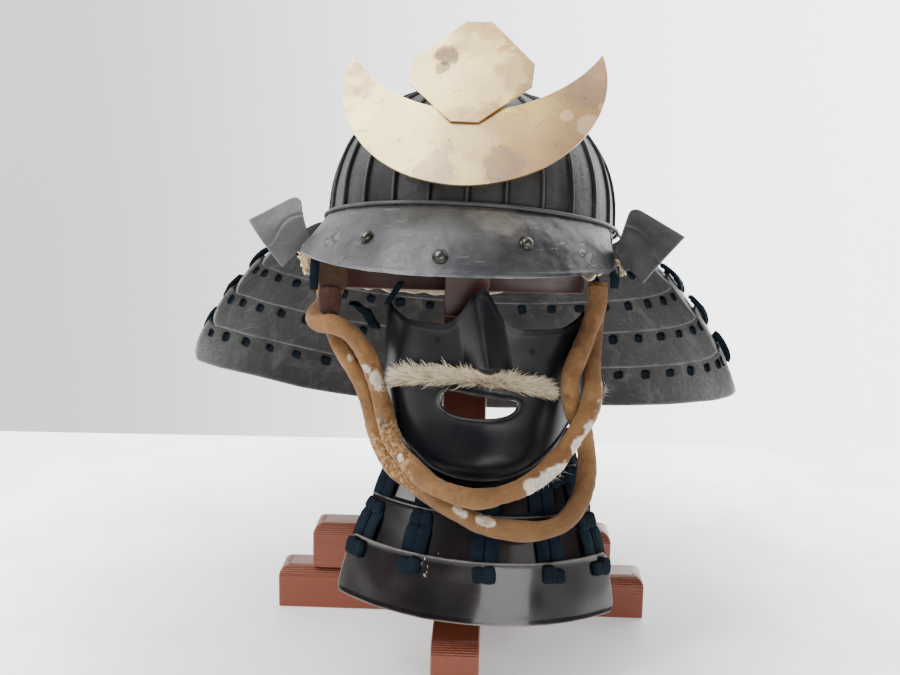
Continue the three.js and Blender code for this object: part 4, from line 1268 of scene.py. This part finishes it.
# ---------- face mask ----------
def nose_ridge(x, z):
    centre = 0.0035 - 0.24 * max(0, z - NOSE_FOOT)
    share = min(1, abs(x - centre) / NOSE_HALF_WIDTH)
    across = 1 - (math.sqrt(share * share + 0.02) - math.sqrt(0.02)) / (math.sqrt(1.02) - math.sqrt(0.02))
    foot = 1 if z > NOSE_FOOT else max(0, 1 - (NOSE_FOOT - z) / 0.008)
    towards_bridge = max(0, (z - NOSE_FOOT) / (MASK_RIM + MASK_BRIDGE_RISE - NOSE_FOOT))
    return NOSE_HEIGHT * across * foot * (1 - 0.55 * towards_bridge)


def facing(turn):
    """The level direction straight out of a round front at a turn from its middle."""
    return Vector((math.sin(turn), -math.cos(turn), 0))


def face_point(turn, z):
    """The mask's front at a turn round the face and a height, in the mask's own frame."""
    taper = 1 - 0.14 * max(0, min(1, z / MASK_CHIN))
    x = MASK_HALF_WIDTH * math.sin(turn) * taper
    depth = 0.060 + 0.006 * math.exp(-(((z + 0.042) / 0.016) ** 2)) + 0.003 * max(0, z / 0.070)
    y = -depth * max(0, math.cos(turn)) ** 0.85 - nose_ridge(x, z)
    return Vector((x, y, z))


def mask_bottom(across):
    return MASK_CHIN * (1 - abs(across) ** 2.2) ** (1 / 2.2)


def mask_top(across):
    x = MASK_HALF_WIDTH * across
    cheek = max(0, abs(across) - 0.78) / 0.22
    return MASK_RIM + MASK_BRIDGE_RISE * math.exp(-(((x + 0.003) / 0.013) ** 2)) + 0.007 * cheek


def mask_edge(angle):
    """Where a ray from the mouth meets the mask's outline, as (turn, z)."""
    reach_turn, reach_z = math.cos(angle) / 0.0433, math.sin(angle)
    low, high = 0.0, 0.13
    for _ in range(30):
        middle = (low + high) / 2
        turn, z = reach_turn * middle, reach_z * middle
        inside = abs(turn) < math.pi / 2 and mask_bottom(math.sin(turn)) < z < mask_top(math.sin(turn))
        low, high = (middle, high) if inside else (low, middle)
    return reach_turn * low, reach_z * low


def mouth_edge(angle):
    """The mouth's outline: a wide slot, higher at the left and dipped in the middle of its upper edge."""
    c, s = math.cos(angle), math.sin(angle)
    x = math.copysign(0.025 * abs(c) ** 0.75, c) - 0.001
    upper = 0.0062 + 0.0034 * (-c) + 0.0016 * math.cos(2 * angle)
    z = upper * s**0.8 if s > 0 else -0.0105 * (-s) ** 0.7
    return math.asin(x / MASK_HALF_WIDTH), z - 0.0006


def mask_shell():
    flange_in = 0.0046

    def along(v):
        """Rings are close together at the mouth's lip and at the outer flange."""
        return v * v * (3 - 2 * v) * 0.45 + v * 0.55

    def flat(u, v):
        angle = 2 * math.pi * u
        share = along(v)
        mouth, edge = mouth_edge(angle), mask_edge(angle)
        return mix(mouth[0], edge[0], share), mix(mouth[1], edge[1], share)

    def around(u, v):
        """The place on the mask, how low it is, and how far from the mouth and from the edge."""
        turn, z = flat(u, v)
        spans = [math.hypot((turn - t) * 0.06, z - level) for t, level in (flat(u, 0), flat(u, 1))]
        return turn, z, min(1, max(0, (0.012 - z) / 0.02)), *spans

    def place(u, v):
        turn, z, low, from_mouth, from_edge = around(u, v)
        lip = 0.0016 * math.exp(-((from_mouth / 0.0024) ** 2))
        flange = low * 0.0012 * math.exp(-(((from_edge - flange_in) / 0.0013) ** 2))
        flange -= mix(0.0003, 0.0008, low) * math.exp(-((from_edge / 0.003) ** 2))
        chin_pad = 0.0012 * math.exp(-((turn / 0.5) ** 2) - ((z + 0.034) / 0.014) ** 2)
        dent = 0.0005 * noise.noise(Vector((turn * 4, z * 60, 3)))
        return FACE @ (face_point(turn, z) + facing(turn) * (lip + flange + chin_pad + dent))

    def rim(u, v):
        _, _, low, from_mouth, from_edge = around(u, v)
        at_edge = mix(0.1, 0.5, low) * edge_wear(abs(from_edge - flange_in), 0.0012)
        return max(at_edge, 0.4 * edge_wear(abs(from_mouth - 0.001), 0.0012))

    bm = sheet(320, 64, place, (0.3, 0.08), rim, closed=True)
    behind = FACE @ Vector((0, 0.03, 0))
    plate("face_mask", bm, behind, MASK_LACQUER, "lacquer", ["mask_shell"], MASK_WALL, 0.0005)


def mask_holes():
    """Two small near-black discs on the cheeks, painted shade where the mask has holes."""
    bm = bmesh.new()
    for turn, z in ((-0.47, 0.038), (0.48, 0.034)):
        away = facing(turn)
        spot = Matrix.Translation(FACE @ (face_point(turn, z) + away * 0.0004))
        aim = away.to_track_quat("Z", "Y").to_matrix().to_4x4()
        made = bmesh.ops.create_circle(bm, cap_ends=True, segments=20, radius=0.0019)["verts"]
        bmesh.ops.transform(bm, matrix=spot @ aim, verts=made)
    finished("mask_holes", bm, HOLE_SHADE, "lacquer")


def moustache_line(x):
    """The height of the moustache's middle at x, in the mask's frame."""
    return 0.0165 - (0.017 if x < -0.010 else 0.012) * (abs(x + 0.010) / 0.057) ** 2.2


def strands_piece(name, strands, radius, material, slot, nodes=(), shades=None):
    """Many fine tapered strands, each a route of three points, as one mesh."""
    data = bpy.data.curves.new(name, "CURVE")
    data.dimensions = "3D"
    data.bevel_depth = radius
    data.bevel_resolution = 0
    data.resolution_u = 1
    ends = []
    for route in strands:
        line = data.splines.new("POLY")
        line.points.add(len(route) - 1)
        for index, (point, at) in enumerate(zip(line.points, route)):
            point.co = (*at, 1)
            point.radius = 1 - 0.85 * (index / (len(route) - 1)) ** 1.5
            ends.append(index / (len(route) - 1))
    holder = bpy.data.objects.new(name + "_curve", data)
    scene.collection.objects.link(holder)
    mesh = bpy.data.meshes.new_from_object(holder.evaluated_get(bpy.context.evaluated_depsgraph_get()))
    bpy.data.objects.remove(holder)
    bm = bmesh.new()
    bm.from_mesh(mesh)
    bpy.data.meshes.remove(mesh)
    tone, tip, bare = [bm.verts.layers.float.new(layer) for layer in ("tone", "tip", "bare")]
    around = len(bm.verts) // len(ends)
    for index, vert in enumerate(bm.verts):
        vert[tone] = shades[index // (around * 3)] if shades else 0.5
        vert[tip] = ends[index // around]
        vert[bare] = 1
    bmesh.ops.recalc_face_normals(bm, faces=bm.faces)
    return finished(name, bm, material, slot, nodes)


def moustache():
    chance = random.Random(11)
    strands, shades = [], []
    for _ in range(BRISTLES):
        x = mix(-0.060, 0.0435, chance.random())
        full = min(1, (x + 0.0615) / 0.012, (0.045 - x) / 0.009) ** 0.5
        level = chance.uniform(-1, 1)
        turn = math.asin(x / MASK_HALF_WIDTH)
        z = moustache_line(x) + level * 0.0034 * full - 0.001
        tuft = noise.noise(Vector((x * 260, level * 1.3, 5)))
        away = facing(turn)
        along = Vector((math.cos(turn), math.sin(turn), 0))
        root = face_point(turn, z) + away * (0.0014 + 0.0022 * (1 - level * level) * full)
        sweep = max(-1, min(1, (x - 0.004) / 0.022)) + 0.9 * tuft + chance.gauss(0, 0.3)
        length = mix(0.0078, 0.0112, abs(x) / 0.06) * chance.uniform(0.6, 1.35) * full * (1 + 0.5 * tuft)
        lift = 0.62 + 0.34 * level - 0.33 * abs(sweep) + chance.gauss(0, 0.2)
        bend = along * sweep + Vector((0, 0, lift)) + away * chance.uniform(0.1, 0.7)
        mid = root + bend.normalized() * length * 0.5
        droop = away * -0.12 + along * sweep * 0.35 - Vector((0, 0, 0.2))
        tip = mid + (bend.normalized() * 0.8 + droop) * length * 0.5
        strands.append([FACE @ root, FACE @ mid, FACE @ tip])
        # Painted shade: hairs lower in the moustache get a darker tone, with a random spread on top.
        shades.append(0.5 + 0.55 * level + chance.gauss(0, 0.25))
    nodes = ["moustache"]
    strands_piece("moustache_bristles", strands, BRISTLE_RADIUS, BRISTLE, "bristle", nodes, shades)


# ---------- throat guard ----------
def throat(index, u, v, out=0.0):
    height, front, half = [mix(a, b, v) for a, b in zip(*THROAT_LAMES[index])]
    sag = half * THROAT_SAG
    radius = (half * half + sag * sag) / (2 * sag)
    turn = (2 * u - 1) * math.asin(half / radius)
    middle = Vector((0, front + radius, height - THROAT.translation.z))
    return middle + facing(turn) * (radius + out)


def throat_lame(index):
    last = index == len(THROAT_LAMES) - 1

    def place(u, v):
        lip = 0
        if last:
            u, v = rounded(u, v, 0.035, 0.18)
            lip = 0.0008 * edge_wear(abs(v - 0.985), 0.03)
        lip += 0.0009 * edge_wear(abs(v - 0.012), 0.025)
        point = throat(index, u, v, lip)
        return THROAT @ (point + Vector((0, 0.0005 * noise.noise(point * 45), 0)))

    def rim(u, v):
        return max(edge_wear(v, 0.03), edge_wear(1 - v, 0.03), edge_wear(min(u, 1 - u), 0.006))

    bm = sheet(150, 30, place, (0.2, 0.04), rim)
    name, node = f"throat_lame_lacquer_{index + 1}", f"throat_lame_{index + 1}"
    plate(name, bm, THROAT.translation, THROAT_LACQUER, "lacquer", [node], THROAT_WALL, 0.0005)


def throat_lacing(index):
    """Wide paired braids down the lame above, behind this one's rim, and out below it as soft knots."""
    bm = bmesh.new()
    chance = random.Random(70 + index)

    def on(lame, u, v, out=0.0):
        return THROAT @ throat(lame, u, v, out)

    for u in THROAT_BRAIDS[min(index, 1)]:
        across = (on(index, min(u + 0.01, 1), 0.1) - on(index, max(u - 0.01, 0), 0.1)).normalized()
        down = (on(index, u, 0.3) - on(index, u, 0.1)).normalized()
        front = across.cross(down).normalized()
        if front.y > 0:
            front = -front
        frame_here = Matrix((across, down, front)).transposed().to_4x4()
        for side in (-1, 1):
            spot = on(index, u, 0.2 + chance.uniform(-0.02, 0.03), 0.0012) + across * side * 0.0034
            size = (0.0048 * chance.uniform(0.9, 1.15), 0.0062 * chance.uniform(0.85, 1.1), 0.0026)
            tilt = Matrix.Rotation(chance.uniform(-0.25, 0.25), 4, "Z")
            knot(bm, Matrix.Translation(spot) @ frame_here @ tilt, size)
            shift = across * (side * 0.0046 + chance.uniform(-0.0006, 0.0006))
            if index:
                arch = ((0.3, 0.0002), (0.4, 0.0018), (0.6, 0.0024), (0.85, 0.002), (1, 0.001))
                route = [on(index - 1, u, v, out) + shift for v, out in arch]
            else:
                rises = (-0.002, 0.006, 0.014, 0.022)
                leans = [Vector((0, rise * 0.35, rise)) for rise in rises]
                route = [on(0, u, 0, -0.0016 - lean.z * 0.2) + shift + lean for lean in leans]
            ribbon(bm, route, across, 0.0092, 0.0022)
    bmesh.ops.recalc_face_normals(bm, faces=bm.faces)
    finished(f"throat_lacing_{index + 1}", bm, BRAID, "lacing")


def throat_backing():
    """The dark cloth that hangs behind the two upper lames and shows at their sides."""
    def place(u, v):
        lame, share = (0, v * 2) if v < 0.5 else (1, v * 2 - 1)
        wide = 0.5 + (u - 0.5) * (1.12 if lame == 0 else 0.99)
        point = throat(lame, wide, mix(-0.3, 1, share) if lame == 0 else share, -0.0035)
        return THROAT @ (point + Vector((0, 0.001 * math.sin(u * 90), 0)))

    bm = sheet(120, 16, place, (0.16, 0.05))
    plate("throat_backing", bm, THROAT.translation, BRAID, "lacing", (), 0.0012, 0.0003)


# ---------- ties ----------
def strap(name, points, width, thick, material, slot, nodes=()):
    """A flat tie or a wrap of cloth, straight between its points."""
    bm = bmesh.new()
    ends = [Vector(point) for point in points]
    route = [a.lerp(b, step / 4) for a, b in zip(ends, ends[1:]) for step in range(4)] + [ends[-1]]
    route = [point + Vector((0, 0.0008 * math.sin(index * 1.7), 0)) for index, point in enumerate(route)]
    ribbon(bm, route, Vector((1, 0, 0)), width, thick)
    bmesh.ops.recalc_face_normals(bm, faces=bm.faces)
    uv = bm.loops.layers.uv.new("UVMap")
    for face in bm.faces:
        for loop in face.loops:
            loop[uv].uv = (loop.vert.co.z, loop.vert.co.x)
    finished(name, bm, material, slot, nodes)


# name, points, width, thickness, material, slot, replaced nodes
STRAPS = [
    (
        "tie_left_braid", [(-0.0985, -0.091, 0.279), (-0.0995, -0.090, 0.257)],
        0.0062, 0.002, BRAID, "lacing", ["tie_left"],
    ),
    (
        "tie_right_braid", [(0.0985, -0.084, 0.276), (0.0985, -0.083, 0.262)],
        0.0062, 0.002, BRAID, "lacing", ["tie_right"],
    ),
    (
        "cloth_wrap_upper", [(-0.0885, -0.084, 0.276), (-0.0875, -0.085, 0.2565)],
        0.02, 0.004, WRAP_CLOTH, "ochre_cord",
    ),
    (
        "cloth_wrap_lower", [(-0.0890, -0.090, 0.2585), (-0.0885, -0.092, 0.243)],
        0.0155, 0.004, RED_CLOTH, "ochre_cord",
    ),
    (
        "temple_strap", [(-0.0425, -0.080, 0.262), (-0.052, -0.078, 0.2465)],
        0.005, 0.0018, BRAID, "lacing",
    ),
    (
        "temple_braid", [(-0.076, -0.064, 0.244), (-0.068, -0.064, 0.239), (-0.061, -0.064, 0.228)],
        0.008, 0.005, BRAID, "lacing",
    ),
]
# name, the four corners of the scrap, how ragged its outline is
LOOSE_LINING = [
    (
        "loose_lining_left",
        [
            (-0.115, -0.062, 0.278), (-0.103, -0.074, 0.278),
            (-0.1025, -0.076, 0.262), (-0.111, -0.066, 0.266),
        ],
        0.003,
    ),
    (
        "loose_lining_right",
        [
            (0.098, -0.071, 0.279), (0.102, -0.070, 0.279),
            (0.107, -0.070, 0.269), (0.1035, -0.071, 0.268),
        ],
        0.001,
    ),
]


# ---------- stand ----------
def box_mesh(low, high):
    bm = bmesh.new()
    bmesh.ops.create_cube(bm, size=1)
    for vert in bm.verts:
        vert.co = Vector([mix(low[i], high[i], vert.co[i] + 0.5) for i in range(3)])
    return bm


def sawn(bm, point, slant):
    """Saws off what lies past a slanting plane and closes the cut."""
    everything = bm.verts[:] + bm.edges[:] + bm.faces[:]
    cut = bmesh.ops.bisect_plane(bm, geom=everything, plane_co=point, plane_no=slant, clear_outer=True)
    rim = [item for item in cut["geom_cut"] if isinstance(item, bmesh.types.BMEdge)]
    bmesh.ops.edgeloop_fill(bm, edges=rim)


def bevelled(bm, edges, offset, segments):
    bmesh.ops.bevel(
        bm, geom=edges, offset=offset, affect="EDGES", segments=segments, profile=0.5, material=-1
    )


def round_ends(bm, top, axis, ends):
    """Rounds the upper arris at the ends of a board that lies along an axis."""
    def at_end(vert):
        return abs(vert.co.z - top) < 1e-6 and min(abs(vert.co[axis] - end) for end in ends) < 1e-6

    chosen = [edge for edge in bm.edges if all(at_end(vert) for vert in edge.verts)]
    bevelled(bm, chosen, BOARD_ROUNDING, 8)


def wooden(name, bm, along):
    """Softens a sawn piece's arrises, lays its grain along an axis and makes it a piece."""
    bmesh.ops.recalc_face_normals(bm, faces=bm.faces)
    bevelled(bm, bm.edges[:], ARRIS, 2)
    low = [min(vert.co[i] for vert in bm.verts) for i in range(3)]
    high = [max(vert.co[i] for vert in bm.verts) for i in range(3)]

    def at_arris(co):
        return edge_wear(sorted(min(co[i] - low[i], high[i] - co[i]) for i in range(3))[1], ARRIS)

    wear(bm, at_arris)
    axis = "XYZ".index(along)
    others = [i for i in range(3) if i != axis]
    uv = bm.loops.layers.uv.new("UVMap")
    for face in bm.faces:
        for loop in face.loops:
            co = loop.vert.co
            loop[uv].uv = (co[axis], co[others[0]] + co[others[1]] * 1.3)
    piece = finished(name + "_wood", bm, WOOD, "stained_wood", [name])
    for face in piece.data.polygons:
        face.use_smooth = face.area < LARGE_FACE


def stand():
    for name, axis, ends in (
        ("stand_lower_board", 0, (0, 1)),
        ("stand_upper_block", 0, (0, 1)),
        ("stand_front_foot", 1, (0,)),
        ("stand_back_foot", 1, (1,)),
    ):
        low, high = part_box(name)
        bm = box_mesh(low, high)
        round_ends(bm, high[2], axis, [(low, high)[end][axis] for end in ends])
        wooden(name, bm, "XYZ"[axis])
    for name in ("stand_post", "stand_head_post"):
        wooden(name, box_mesh(*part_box(name)), "Z")

    low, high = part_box("stand_crossbar")
    crossbar = box_mesh(low, high)
    for side, end in ((-1, low[0]), (1, high[0])):
        sawn(crossbar, (end, 0, high[2] - 0.023), (side * 0.023, 0, 0.012))
    wooden("stand_crossbar", crossbar, "X")

    for name in ("stand_front_arm", "stand_back_arm"):
        low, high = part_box(name)
        arm = box_mesh(low, high)
        sawn(arm, (high[0], 0, low[2] + 0.021), (0.021, 0, -0.010))
        wooden(name, arm, "Y")


# ---------- the whole ----------
add_camera()
add_floor()
add_wall()
add_lights()
chin_cord("chin_cord_inner", INNER_STRAND, TEARS["inner"])
chin_cord("chin_cord_outer", OUTER_STRAND, TEARS["outer"])
strands_piece("wadding_tufts", wadding_tufts(), FIBRE_RADIUS, CLOTH, "ochre_cord")
bowl_shell()
crown_ring()
base_band()
rim_bead()
lining()
brow_plate()
brow_rivets()
crescent()
diamond()
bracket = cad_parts["crest_bracket"].data
bracket.materials.clear()
bracket.materials.append(BRASS)
for lame in range(NECK_LAMES):
    neck_lame(lame)
for lame in range(1, NECK_LAMES):
    neck_lacing(lame)
wing(-1, "left")
wing(1, "right")
mask_shell()
mask_holes()
moustache()
for lame in range(len(THROAT_LAMES)):
    throat_lame(lame)
    throat_lacing(lame)
throat_backing()
for row in STRAPS:
    strap(*row)
for row in LOOSE_LINING:
    loose_cloth(*row)
stand()
